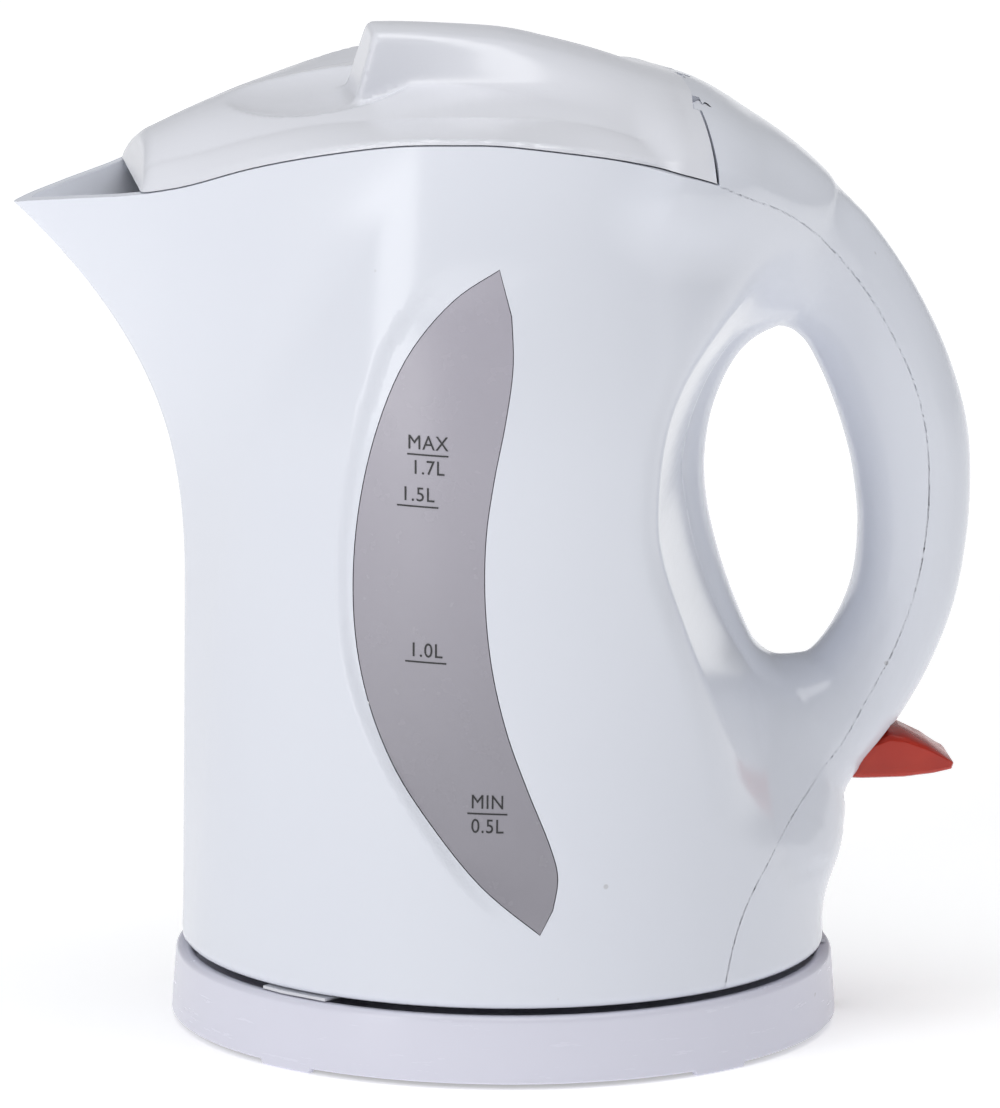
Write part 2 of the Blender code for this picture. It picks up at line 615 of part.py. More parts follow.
def build_switch():
    x, z = side(SWITCH_PIVOT)
    half = SWITCH_WIDTH / 2
    paddle = side_prism("power_switch", [side(p) for p in SWITCH_OUTLINE], half, "red")
    bevel = paddle.modifiers.new("edge", "BEVEL")
    bevel.width = 0.8 * MM
    bevel.segments = 2
    cut(paddle, across("cut_paddle_bore", PIN_RADIUS + PIN_PLAY, (x, z), 30 * MM))
    across("switch_pin", PIN_RADIUS, (x, z), half + 3.1 * MM, "steel")
    return [paddle]


# ---------------------------------------------------------------- inside the jug
def build_heater():
    top = JUG_FOOT + PLATE_LEVEL
    seat = top - FLOOR_THICKNESS - FIT
    turned("heater_plate", [(0, seat), (PLATE_RADIUS, seat), (PLATE_RADIUS, seat - PLATE_DEPTH),
                            (PLATE_RADIUS - PLATE_GAUGE, seat - PLATE_DEPTH),
                            (PLATE_RADIUS - PLATE_GAUGE, seat - PLATE_GAUGE), (0, seat - PLATE_GAUGE)], "steel")
    turned("plate_seal", [(PLATE_RADIUS + 3.0 * MM, seat), (PLATE_RADIUS + 3.0 * MM, seat - 3 * MM),
                          (PLATE_RADIUS + FIT, seat - 3 * MM), (PLATE_RADIUS + FIT, seat)], "rubber")
    level = seat - PLATE_GAUGE - FIT - ELEMENT_RADIUS
    start, end = math.radians(20), math.radians(340)
    path = [(ELEMENT_CIRCLE * math.cos(start + (end - start) * k / 40),
             ELEMENT_CIRCLE * math.sin(start + (end - start) * k / 40), level) for k in range(41)]
    tube("heating_element", path, ELEMENT_RADIUS, "aluminium")
    control = block("control_unit", (-17 * MM, -25 * MM, JUG_FOOT + 10.6 * MM), (17 * MM, 25 * MM, seat - 1.6 * MM),
                    "black", 1.0 * MM)
    rod("bimetal_disc", 9.0 * MM, (0, 0, seat - 1.3 * MM), (0, 0, seat - 1.1 * MM), "brass", 32)
    return control


def build_bottom():
    """Underside of the jug, its feet, and the connector that meets the base."""
    low, high = JUG_FOOT + 0.35 * MM, JUG_FOOT + 2.4 * MM
    cover = turned("bottom_cover", [(BODY_RADIUS - WALL - FIT, high), (BODY_RADIUS - WALL - FIT, low),
                                    (CONNECTOR_RADIUS + 0.6 * MM, low), (CONNECTOR_RADIUS + 0.6 * MM, high)],
                   "white_inner", steps=48)
    for angle in JUG_FOOT_ANGLES:
        foot = turned("foot_ring", [(BODY_RADIUS, JUG_FOOT - FIT), (BODY_RADIUS, BASE_HEIGHT + FIT),
                                    (BODY_RADIUS - 7 * MM, BASE_HEIGHT + FIT), (BODY_RADIUS - 7 * MM, low + 1 * MM),
                                    (BODY_RADIUS - WALL - 1 * MM, low + 1 * MM), (BODY_RADIUS - WALL - 1 * MM, JUG_FOOT - FIT)])
        half = math.tan(math.radians(JUG_FOOT_HALF_ANGLE)) * BODY_RADIUS
        sector = block("foot_sector", (0.5 * BODY_RADIUS, -half, 0), (1.2 * BODY_RADIUS, half, 60 * MM))
        sector.rotation_euler = (0, 0, math.radians(angle))
        join(cover, keep(foot, sector))
    for number, angle in enumerate(SCREW_ANGLES, 1):
        x, y = (66 * MM * f(math.radians(angle)) for f in (math.cos, math.sin))
        cut(cover, rod("cut_cover_screw", SCREW_RADIUS + FIT, (x, y, 0), (x, y, 60 * MM)))
        screw(f"cover_screw_{number}", x, y, low - FIT, 8 * MM)

    top = JUG_FOOT + 10.0 * MM
    turned("jug_connector", [(0, top), (CONNECTOR_RADIUS, top), (CONNECTOR_RADIUS, JUG_FOOT + 0.8 * MM),
                             (TOWER_RADIUS + 0.6 * MM, JUG_FOOT + 0.8 * MM), (TOWER_RADIUS + 0.6 * MM, top - 1.6 * MM),
                             (0, top - 1.6 * MM)], "black")
    under = top - 1.6 * MM - FIT
    for name, radius in (("live_ring", LIVE_RADIUS), ("neutral_ring", NEUTRAL_RADIUS)):
        turned(name, [(radius + BLADE / 2, under), (radius + BLADE / 2, under - 6 * MM),
                      (radius - BLADE / 2, under - 6 * MM), (radius - BLADE / 2, under)], "brass")
    rod("earth_pin", EARTH_PIN_RADIUS, (0, 0, under - 9 * MM), (0, 0, under), "brass")


def screw(name, x, y, bottom, length):
    """A pan-head screw standing up from its head."""
    head = bottom - 1.4 * MM
    turned(name, [(0, bottom + length), (SCREW_RADIUS, bottom + length), (SCREW_RADIUS, bottom),
                  (2.9 * MM, bottom), (2.9 * MM, bottom - 0.5 * MM), (2.2 * MM, head), (0, head)], "steel", (x, y, 0), 12)


def build_steam():
    """Steam tube down the handle, with the steam switch and lamp beside the paddle."""
    points = []
    for k in range(4, 13):
        outer, inner = side(OUTER_LINE[k]), side(INNER_LINE[k])
        points.append(((outer[0] + inner[0]) / 2, 0.0, (outer[1] + inner[1]) / 2))
    tube("steam_tube", points, 3.0 * MM, "white_inner")
    x, z = side((84.0, 80.0))
    block("steam_switch", (x - 6 * MM, -9 * MM, z - 5 * MM), (x + 5 * MM, 9 * MM, z + 4 * MM), "black", 0.8 * MM)


def build_filter():
    """The spout's filter: a frame across the mouth with a slotted screen in it."""
    x = side((-74.0, 0))[0]
    low, high = side((0, 168.0))[1], side((0, 207.0))[1]
    frame = jug_loft("filter_frame", 160.0, 215.0, WALL + FIT, finish="white_inner")
    keep(frame, block("keep_frame", (x - 1.2 * MM, -60 * MM, low), (x + 1.2 * MM, 60 * MM, high)))
    cut(frame, block("cut_frame", (x - 5 * MM, -24 * MM, low + 6 * MM), (x + 5 * MM, 24 * MM, high - 4 * MM)))
    screen = block("filter_screen", (x - 0.4 * MM, -24 * MM + FIT, low + 6 * MM + FIT),
                   (x + 0.4 * MM, 24 * MM - FIT, high - 4 * MM - FIT), "steel")
    for k in range(9):
        y = (-20 + 5 * k) * MM
        cut(screen, block("cut_screen", (x - 2 * MM, y - 1.5 * MM, low + 9 * MM), (x + 2 * MM, y + 1.5 * MM, high - 7 * MM)))


# ---------------------------------------------------------------- the power base
def build_base():
    rim, wall = BASE_HEIGHT, BASE_WALL
    top, deck = BASE_RADIUS - BASE_DRAFT, BASE_HEIGHT - DECK_DEPTH
    cap = deck + TOWER_HEIGHT
    shell = turned("base_top", [
        (EARTH_PIN_RADIUS + 1.0 * MM, cap), (NEUTRAL_RADIUS - GROOVE_WIDTH / 2, cap),
        (NEUTRAL_RADIUS - GROOVE_WIDTH / 2, cap - 9 * MM), (NEUTRAL_RADIUS + GROOVE_WIDTH / 2, cap - 9 * MM),
        (NEUTRAL_RADIUS + GROOVE_WIDTH / 2, cap), (LIVE_RADIUS - GROOVE_WIDTH / 2, cap),
        (LIVE_RADIUS - GROOVE_WIDTH / 2, cap - 9 * MM), (LIVE_RADIUS + GROOVE_WIDTH / 2, cap - 9 * MM),
        (LIVE_RADIUS + GROOVE_WIDTH / 2, cap), (TOWER_RADIUS - 1 * MM, cap), (TOWER_RADIUS, cap - 1 * MM),
        (TOWER_RADIUS, deck), (top - 5 * MM, deck), (top - 3.2 * MM, rim - 0.3 * MM), (top - 2.4 * MM, rim),
        (top - 1.0 * MM, rim - 0.2 * MM), (top, rim - 1.3 * MM), (BASE_RADIUS, FOOT_LIFT),
        (BASE_RADIUS - wall, FOOT_LIFT), (top - 5 * MM - 0.3 * wall, deck - wall), (TOWER_RADIUS - 2 * MM, deck - wall),
        (TOWER_RADIUS - 2 * MM, cap - 11 * MM), (EARTH_PIN_RADIUS + 1.0 * MM, cap - 11 * MM)], "white_base", steps=48)
    for angle in SKIRT_TAB_ANGLES:
        tab = turned("tab_ring", [(BASE_RADIUS - 0.1 * MM, FOOT_LIFT + 3 * MM), (BASE_RADIUS + 0.05 * MM, 0.1 * MM),
                                  (BASE_RADIUS - wall + 0.2 * MM, 0.1 * MM),
                                  (BASE_RADIUS - wall + 0.2 * MM, FOOT_LIFT + 3 * MM)], steps=48)
        half = math.tan(math.radians(SKIRT_TAB_HALF_ANGLE)) * BASE_RADIUS
        sector = block("tab_sector", (0.5 * BASE_RADIUS, -half, -5 * MM), (1.2 * BASE_RADIUS, half, 20 * MM))
        sector.rotation_euler = (0, 0, math.radians(angle))
        join(shell, keep(tab, sector))
    notch = block("cut_cord_notch", (BASE_RADIUS - 8 * MM, -CORD_WIDTH / 2, -5 * MM),
                  (BASE_RADIUS + 8 * MM, CORD_WIDTH / 2, FOOT_LIFT + CORD_WIDTH))
    cut(shell, notch)

    under = turned("base_bottom", [(0, 4.2 * MM), (BASE_RADIUS - wall - 3 * MM, 4.2 * MM),
                                   (BASE_RADIUS - wall - 3 * MM, 2.0 * MM), (0, 2.0 * MM)], "black", steps=48)
    cut(under, block("cut_bottom_notch", (BASE_RADIUS - 12 * MM, -CORD_WIDTH / 2, -5 * MM),
                     (BASE_RADIUS + 8 * MM, CORD_WIDTH / 2, 12 * MM)))
    for number, angle in enumerate(FOOT_ANGLES, 1):
        x, y = (FOOT_CIRCLE * f(math.radians(angle)) for f in (math.cos, math.sin))
        turned(f"base_foot_{number}", [(0, 2.0 * MM - FIT), (FOOT_RADIUS, 2.0 * MM - FIT), (FOOT_RADIUS, 0.6 * MM),
                                       (FOOT_RADIUS - 0.6 * MM, 0), (0, 0)], "rubber", (x, y, 0), 16)
    for number, angle in enumerate(SCREW_ANGLES, 1):
        x, y = (50 * MM * f(math.radians(angle)) for f in (math.cos, math.sin))
        cut(under, rod("cut_base_screw", SCREW_RADIUS + FIT, (x, y, -5 * MM), (x, y, 20 * MM)))
        screw(f"base_screw_{number}", x, y, 2.0 * MM - FIT, 7 * MM)

    floor = cap - 9 * MM + FIT
    for name, radius in (("live_contact", LIVE_RADIUS), ("neutral_contact", NEUTRAL_RADIUS)):
        x = radius + BLADE / 2 + 0.65 * MM
        block(name, (x - 0.2 * MM, -1 * MM, floor), (x + 0.2 * MM, 1 * MM, cap - 1.5 * MM), "brass")
    block("earth_contact", (-1.5 * MM, -1.5 * MM, deck - wall), (1.5 * MM, 1.5 * MM, cap - 11.5 * MM), "brass")
    block("cord_clamp", (BASE_RADIUS - 34 * MM, -8 * MM, 4.2 * MM + FIT), (BASE_RADIUS - 24 * MM, 8 * MM, 8.5 * MM),
          "white_inner", 0.6 * MM)


def fix_to(parent, pieces):
    for piece in pieces:
        piece.parent = parent
        piece.location = piece.location - parent.location


def empty(name, place_):
    made = bpy.data.objects.new(name, None)
    bpy.context.scene.collection.objects.link(made)
    made.location = place_
    return made


clear_scene()
KETTLE = collection("electric_kettle")
CUTTERS = collection("cutters")
MATERIALS = {
    "white": material("gloss_white", (0.80, 0.82, 0.86), 0.16),
    "white_base": material("gloss_white_base", (0.76, 0.77, 0.83), 0.2),
    "white_inner": material("inner_white", (0.74, 0.75, 0.78), 0.4),
    "smoke": material("smoked_window", (0.38, 0.37, 0.43), 0.12),
    "red": material("red_paddle", (0.50, 0.03, 0.01), 0.25),
    "black": material("black_plastic", (0.02, 0.02, 0.022), 0.5),
    "steel": material("steel", (0.55, 0.55, 0.56), 0.3, 1.0),
    "aluminium": material("aluminium", (0.6, 0.6, 0.62), 0.45, 1.0),
    "brass": material("brass", (0.60, 0.42, 0.16), 0.35, 1.0),
    "rubber": material("rubber", (0.03, 0.03, 0.03), 0.8),
}

build_base()
build_shells()
lid_pieces, lid_pin = build_lid()
switch_pieces = build_switch()
build_heater()
build_bottom()
build_steam()
build_filter()

lid_x, lid_z = side(LID_PIVOT)
switch_x, switch_z = side(SWITCH_PIVOT)
fix_to(empty("lid_pivot", (lid_x, 0, lid_z)), lid_pieces)
fix_to(empty("switch_pivot", (switch_x, 0, switch_z)), switch_pieces)
root = empty("kettle", (0, 0, 0))
for obj in list(bpy.data.objects):
    if obj is not root and obj.parent is None:
        obj.parent = root
root.location = (REACH_SHIFT, 0, 0)
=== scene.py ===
# %% Load the frame
import math

import bmesh
import bpy
import numpy as np
from mathutils import Matrix, Vector

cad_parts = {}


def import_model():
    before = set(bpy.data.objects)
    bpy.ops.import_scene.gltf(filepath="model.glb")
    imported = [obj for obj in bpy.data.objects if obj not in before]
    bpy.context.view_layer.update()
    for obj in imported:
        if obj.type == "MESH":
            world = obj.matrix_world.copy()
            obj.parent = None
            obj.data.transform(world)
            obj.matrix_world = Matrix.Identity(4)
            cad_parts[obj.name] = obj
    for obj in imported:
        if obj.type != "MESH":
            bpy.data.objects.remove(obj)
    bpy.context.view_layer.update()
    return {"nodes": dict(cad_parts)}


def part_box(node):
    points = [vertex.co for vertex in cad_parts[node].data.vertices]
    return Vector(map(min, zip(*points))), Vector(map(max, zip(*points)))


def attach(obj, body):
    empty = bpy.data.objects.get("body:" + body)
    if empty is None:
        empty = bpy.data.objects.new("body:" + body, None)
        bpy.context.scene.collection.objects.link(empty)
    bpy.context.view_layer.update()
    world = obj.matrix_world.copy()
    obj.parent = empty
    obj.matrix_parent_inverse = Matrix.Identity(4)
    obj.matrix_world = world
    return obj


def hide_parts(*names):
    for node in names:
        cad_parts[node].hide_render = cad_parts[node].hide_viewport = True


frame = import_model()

MM = 0.001

# %% [markdown]
# ## Where the jug stands
# The jug is drawn from its own axis, in millimetres, because every outline of it is easiest to read there.
# The frame puts that axis a few millimetres off the origin, so the base's box says where it is.
# Its foot and the base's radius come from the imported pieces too.

# %% Measures from the frame
base_low, base_high = (Vector(corner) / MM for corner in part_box("base_top"))
AXIS_X = (base_low.x + base_high.x) / 2
BASE_RADIUS = (base_high.y - base_low.y) / 2
BASE_RIM = 17.6
JUG_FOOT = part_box("jug_body")[0][2] / MM
print("jug axis at", round(AXIS_X, 2), "base radius", round(BASE_RADIUS, 2), "foot", round(JUG_FOOT, 2))


def world(point):
    """A point of the jug's own drawing, in mm, as metres in the frame."""
    x, y, z = point
    return Vector(((x + AXIS_X) * MM, y * MM, z * MM))


# %% [markdown]
# ## The camera
# The kettle is seen a little from its spout side and a little from above, through a long lens from far off,
# so that its upright edges stay upright.

# %% Camera
VIEW_TURN, VIEW_RISE, VIEW_ROLL = math.radians(7.0), math.radians(12.3), math.radians(0.35)
VIEW_HEIGHT, VIEW_DISTANCE = 270.9 * MM, 5.0

right = Vector((math.cos(VIEW_TURN), -math.sin(VIEW_TURN), 0))
back = Vector((-math.sin(VIEW_TURN) * math.cos(VIEW_RISE), -math.cos(VIEW_TURN) * math.cos(VIEW_RISE),
               math.sin(VIEW_RISE)))
up = back.cross(right)
aim = world((0, 0, 1.0)) - 1.47 * MM * right + 110.8 * MM * up
lens = bpy.data.cameras.new("camera")
lens.lens = lens.sensor_width * VIEW_DISTANCE / VIEW_HEIGHT
lens.clip_end = 60.0
camera = bpy.data.objects.new("camera", lens)
rolled_right = right * math.cos(VIEW_ROLL) + up * math.sin(VIEW_ROLL)
rolled_up = back.cross(rolled_right)
turn = Matrix((rolled_right, rolled_up, back)).transposed()
camera.matrix_world = Matrix.Translation(aim + back * VIEW_DISTANCE) @ turn.to_4x4()
bpy.context.scene.collection.objects.link(camera)
bpy.context.scene.camera = camera
print("lens", round(lens.lens), "mm")

# %% [markdown]
# ## Outlines
# The jug and the rear cover, which has the outer half of the handle, are cut from one outer skin. The lid is
# cut from a second one, which holds the handle's root too, so that every seam is flush, as in the mould.
# Each line below is a side outline with only the points its shape needs; a smooth curve runs through them.

# %% Side outlines, in mm from the jug's axis
RIM = ((-132, 199.5), (-120.5, 204.1), (-108, 206.8), (-95, 209.2), (-86, 211.6), (-79.8, 213.8),
       (-67.2, 219), (-52.5, 223.4), (-34.9, 227.2), (-20, 228.5), (-6.6, 228.3), (14, 225.3),
       (28.8, 221.6), (43.8, 216.6), (53, 211.5), (63, 204.5), (76, 192), (90, 176), (120, 140))
DECK = ((-97, 216), (-91, 219), (-85, 221.6), (-76, 225.4), (-66, 228.4), (-54, 230.6), (-40, 232.4),
        (-20, 234.3), (0, 235.2), (20, 234), (34.5, 231.3), (43.2, 229.4), (50, 226.4))
CREASE = ((-97, 212.4), (-92.6, 215), (-78.5, 219.8), (-65, 224.6), (-50, 228), (-30, 230.2),
          (-10, 231), (7.6, 230.6), (21.8, 228), (38.2, 220.8), (50, 214))
CREASE_HALF = ((-97, 13), (-92.6, 16), (-78.5, 23), (-65, 29), (-50, 32), (-30, 38), (-10, 42),
               (7.6, 46), (21.8, 50), (38.2, 50), (50, 48))
RIDGE = ((-42, 246.0), (-34, 246.1), (-26, 246.0), (-16.3, 245.4), (-1, 243.9), (10.8, 241.1),
         (22.7, 237.6), (34.5, 233.3), (43.2, 229.7), (50, 226.4))
SEAM_LINE = ((43.8, 216.6), (52, 212), (62, 206), (70, 199.5), (78, 191), (85.5, 181.5), (92.1, 170.5),
             (97, 160), (100.3, 148.5), (101.6, 135.5), (101, 121), (98.3, 106), (93, 91.5),
             (86.3, 79.5), (80.5, 70), (73.2, 62.5), (63, 53), (55, 44), (49.5, 33.5), (45.8, 19),
             (45, 12))
GRIP_OUTSIDE = ((36, 231.8), (43.8, 229.6), (54, 224.3), (64.5, 217.7), (76.5, 208.2), (87.5, 197.3),
                (96.8, 184.5), (104.2, 171), (109.2, 158.8), (112.6, 146), (113.6, 133.5), (112.9, 119),
                (110, 102.5), (104, 86.3), (95.8, 71.8), (87.6, 60.8), (81, 51.5), (77, 42), (74, 34))
GRIP_INSIDE = ((28, 196), (38, 190), (44, 184), (52, 178), (58.5, 172.8), (65.5, 171.6), (72, 167.3),
               (76.6, 159.6), (80.6, 150), (83.6, 140.5), (85.4, 132), (86.5, 120), (85.2, 106),
               (80.5, 94.5), (73.5, 86.3), (66, 85), (58, 84), (50, 80), (44, 74))
GRIP_HALF_WIDTH = (65, 60.6, 51.5, 38.5, 26, 18, 15.8, 15.5, 15.5, 15.5, 15.5, 15.5, 15.5, 15.8, 17, 20,
                   25, 31, 36)
# These four run up the jug: height first, then how far back.
RIB_BACK = ((0, 78.6), (12, 78.6), (45, 78.5), (60, 76.5), (74, 70.5), (86, 64), (97, 58.4), (108, 54),
            (118, 50.9), (128, 48.7), (138, 48), (148, 49.1), (156, 51.5), (163, 55), (172, 61.5), (186, 69),
            (202, 72), (270, 72.5))
SCOOP_START = ((0, 78), (36, 77), (48, 62), (60.6, 50), (77.6, 44.8), (89, 41), (107, 34.6),
               (127, 27.9), (141, 27), (159, 28.7), (174, 34.5), (189, 45), (201, 51.5), (240, 60),
               (270, 60))
SCOOP_END = ((0, 78.6), (36, 78.5), (48, 77), (60, 72.5), (75, 65.5), (89.5, 57.5), (100.7, 51),
             (117, 44.8), (133, 41.4), (142, 41.1), (153, 43.6), (165.5, 49.6), (180, 60.5), (200, 70),
             (240, 74), (270, 74))
VESSEL_BACK = ((0, 63), (45, 63), (62, 60.5), (80, 56), (97, 50.5), (108, 47), (118, 44), (128, 42.3),
               (138, 41.8), (148, 42.6), (156, 44.6), (163, 47.4), (172, 52), (186, 57.5), (202, 60),
               (270, 61))


def through(points, count=600):
    """A smooth curve through a line's own points."""
    line = np.array(points, float)
    place = np.linspace(0, len(line) - 1, count)
    i = np.minimum(place.astype(int), len(line) - 2)
    t = (place - i)[:, None]
    a, b, c, d = (line[np.clip(i + k, 0, len(line) - 1)] for k in (-1, 0, 1, 2))
    bend, twist = 2 * a - 5 * b + 4 * c - d, 3 * b - a - 3 * c + d
    return 0.5 * (2 * b + (c - a) * t + bend * t ** 2 + twist * t ** 3)


def follow(points):
    """A line as a function of its first number."""
    curve = through(points)
    return lambda value: np.interp(value, curve[:, 0], curve[:, 1])


rim_at, deck_at, crease_at, ridge_at = follow(RIM), follow(DECK), follow(CREASE), follow(RIDGE)
crease_half_at = follow(CREASE_HALF)
rib_at, scoop_start_at, scoop_end_at = follow(RIB_BACK), follow(SCOOP_START), follow(SCOOP_END)
vessel_back_at = follow(VESSEL_BACK)
print("rim over the axis", round(float(rim_at(0)), 1), "mm")


# %% [markdown]
# ## A shape as a depth
# A moulded skin with soft blends is hard to loft, so each form is a function that says how deep a point lies:
# below zero is plastic. Two forms melt into each other with a soft minimum, whose width is the fillet that a
# mould maker would leave, and one trims another with a soft maximum.

# %% Blending helpers
def ease(value, low, high):
    t = np.clip((value - low) / (high - low), 0, 1)
    return t * t * (3 - 2 * t)


def melt(a, b, width):
    """The two forms joined, with a fillet about this wide."""
    share = np.clip(0.5 + 0.5 * (b - a) / width, 0, 1)
    return b + (a - b) * share - width * share * (1 - share)


def trim(a, b, width):
    """What lies in both forms, with a rounded edge about this wide."""
    return -melt(-a, -b, width)


# %% [markdown]
# ## The jug's flank and back
# From above the jug is a circle with a teardrop's point ahead of it: two straight walls that run from the
# spout's tip to touch the circle. The tip moves out with height, so the spout grows out of the round jug.
# Beside the handle a shallow scoop is taken out of each flank, and a rib is left down the middle.

# %% Jug form
FLANK, RIB_HALF, TIP_ROUND = 78.6, 16.0, 1.3
FLANK_TAPER, TOP_NARROWING, SWOOSH_DEPTH = 0.026, 5.2, 1.5
SPOUT_FROM, SPOUT_RATE, SPOUT_POWER = 105, 3.5e-4, 2.544


def plan(z):
    """The jug's radius, how far ahead its tip lies, and half the angle between the spout's walls."""
    wide = FLANK - FLANK_TAPER * (z - 19) - TOP_NARROWING * ease(z, 150, 228)
    reach = 78.9 + SPOUT_RATE * np.maximum(0, z - SPOUT_FROM) ** SPOUT_POWER + 1.6 * ease(z, 140, 200)
    return wide, reach, np.arcsin(np.minimum(wide / reach, 0.998))


def flank(x, y, z):
    """The jug before its scoops: the wall beside the spout, and the circle elsewhere."""
    wide, reach, half_angle = plan(z)
    s, c = np.sin(half_angle), np.cos(half_angle)
    side = np.sqrt(y * y + TIP_ROUND ** 2)
    wall = side * c - (reach + x) * s
    past = -(x + wide * s) * c - (np.abs(y) - wide * c) * s
    return np.where((x < 0) & (past > 0), wall, np.hypot(x, y) - wide)


def jug_form(x, y, z):
    start, end, rib = scoop_start_at(z), scoop_end_at(z), rib_at(z)
    side = np.abs(y)
    slope = (start - end) / np.maximum(np.sqrt(np.maximum(FLANK ** 2 - start ** 2, 0)) - RIB_HALF, 12)
    scoop = end + slope * (side - RIB_HALF)
    limit = np.where(side > RIB_HALF, scoop, rib + (end - rib) * (side / RIB_HALF) ** 3)
    return trim(flank(x, y, z), (x - limit) / np.sqrt(1 + slope ** 2), 5)


def swoosh(x, y, z):
    """How far the flank is pressed in beside the water window."""
    ahead = x - swoosh_at(z)
    pressed = ease(ahead, 0, 3.6) * (1 - ease(ahead, 6, 34))
    return SWOOSH_DEPTH * pressed * ease(z, 38, 60) * (1 - ease(z, 186, 202))


# The edge of the pressed-in face runs up the flank just ahead of the window.
SWOOSH = ((20, 2), (35, -8), (49.3, -19.9), (71, -34.5), (90.1, -43.7), (107, -47.7), (126.7, -48.5),
          (146.8, -46.8), (164.9, -43), (180.6, -37.8), (193.2, -29.4), (206, -18), (230, 0))
swoosh_at = follow(SWOOSH)

# %% [markdown]
# ## The handle
# The handle is a ring drawn by its inside and outside lines. A table over the side view holds, for each spot,
# its distance from the ring's middle line, and how thick and wide the ring is there, so that a lookup gives
# the depth. The sections are squared ovals, which is what a grip moulded in two halves looks like.

# %% Handle form
TABLE_STEP, TABLE_LOW, TABLE_SHAPE, SQUARED = 0.5, (-20.0, 0.0), (330, 540), 2.35
outside, inside_line = through(GRIP_OUTSIDE), through(GRIP_INSIDE)
middle, thick = (outside + inside_line) / 2, np.linalg.norm(outside - inside_line, axis=1) / 2
grip_width = through([(w, 0) for w in GRIP_HALF_WIDTH])[:, 0]


def grip_table():
    xs = TABLE_LOW[0] + TABLE_STEP * np.arange(TABLE_SHAPE[0])
    zs = TABLE_LOW[1] + TABLE_STEP * np.arange(TABLE_SHAPE[1])
    run = np.gradient(middle, axis=0)
    pace = np.linalg.norm(run, axis=1)
    layers = np.zeros((3, *TABLE_SHAPE))
    for i, x in enumerate(xs):
        gap = np.stack(np.broadcast_arrays(x - middle[:, 0], zs[:, None] - middle[:, 1]), -1)
        near = (gap ** 2).sum(-1).argmin(1)
        step = gap[np.arange(len(zs)), near]
        along = (step * run[near]).sum(-1) / pace[near]
        ended = ((near == 0) & (along < 0)) | ((near == len(middle) - 1) & (along > 0))
        along = np.where(ended, 0, along)
        place = near + along / pace[near]
        layers[0, i] = np.sqrt(np.maximum((step ** 2).sum(-1) - along ** 2, 0))
        layers[1, i] = np.interp(place, np.arange(len(thick)), thick)
        layers[2, i] = np.interp(place, np.arange(len(thick)), grip_width)
    return layers


grip_layers = grip_table()
print("handle table", grip_layers.shape, "thickest", round(float(thick.max()) * 2, 1), "mm")


def look_up(x, z):
    u = np.clip((x - TABLE_LOW[0]) / TABLE_STEP, 0, TABLE_SHAPE[0] - 1.001)
    v = np.clip((z - TABLE_LOW[1]) / TABLE_STEP, 0, TABLE_SHAPE[1] - 1.001)
    i, j = u.astype(int), v.astype(int)
    s, t = u - i, v - j
    a, b, c, d = (grip_layers[:, i + p, j + q] for p, q in ((0, 0), (1, 0), (0, 1), (1, 1)))
    return (a * (1 - s) + b * s) * (1 - t) + (c * (1 - s) + d * s) * t


def handle_form(x, y, z):
    distance, half_thick, half_wide = look_up(x, z)
    out, across = np.maximum(distance / half_thick, 1e-4), np.abs(y) / half_wide
    size = (out ** SQUARED + across ** SQUARED) ** (1 / SQUARED)
    pull = size ** (1 - SQUARED)
    steep = np.hypot(out ** (SQUARED - 1) * pull / half_thick, across ** (SQUARED - 1) * pull / half_wide)
    form = (size - 1) / np.maximum(steep, 0.01)
    return np.where(x < -15, 40.0, form)


# %% [markdown]
# ## The lid's dome
# The lid has a thin edge, a broad shoulder that rises gently to a crease, a crowned deck, a dished thumb
# hollow in front, and a ridge that stands steeply at the hollow and fades into the handle. Its front face
# leans back from the spout.

# %% Lid form
LID_FRONT, LID_EDGE, LID_JOINT = -92.0, 1.5, 43.3
LID_WALL, THUMB_DEPTH = 1.8, 4.3


def rim_width(x):
    """Half the jug's width where its rim is."""
    wide, reach, half_angle = plan(rim_at(x))
    wall = (reach + x) * np.tan(half_angle)
    return np.where(x < -wide * np.sin(half_angle), wall, np.sqrt(np.maximum(wide ** 2 - x ** 2, 1)))


def lid_form(x, y, z):
    side, rim, crease, deck, ridge = np.abs(y), rim_at(x), crease_at(x), deck_at(x), ridge_at(x)
    width = np.maximum(rim_width(x), 4)
    fold = np.minimum(crease_half_at(x), width - 2)
    crown = deck - (deck - crease) * np.clip(side / fold, 0, 1) ** 2.2
    inward = np.clip((width - side) / (width - fold), 0, 1)
    shoulder = rim + LID_EDGE + (crease - rim - LID_EDGE) * (1 - (1 - inward) ** 1.6)
    hollow = np.clip(1 - ((x + 46) / 23) ** 2 - (y / 26) ** 2, 0, 1)
    top = np.where(side < fold, crown, shoulder) - THUMB_DEPTH * hollow * (1.5 - 0.5 * hollow)
    form = trim(z - top, side - width, 1.2)
    broad, splay = 9 + 6 * ease(x, -37, 44), 0.12 + 4 * ease(x, -38, 50) ** 1.3
    ridge_side = (side - broad - splay * np.maximum(ridge - z, 0)) / np.sqrt(1 + splay ** 2)
    wall = -38.5 + 0.29 * (z - 229.8) - x
    crest = trim(trim(z - ridge + 0.8 * (y / broad) ** 2, ridge_side, 2.0), wall, 1.8)
    form = melt(form, crest, 2)
    face = (LID_FRONT + 0.32 * (z - 210) - x) / 1.05
    return trim(trim(form, face, 2.2), x - 52, 2)


# %% [markdown]
# ## Skins and hollows
# The jug's skin runs a little past its rim, so that the rim can be cut cleanly, and the handle melts into it
# over about 10 mm. The lid has a skin of its own, which takes in the handle's root so that both sides of the
# joint are flush. The bottom edge is rounded by 1.5 mm.

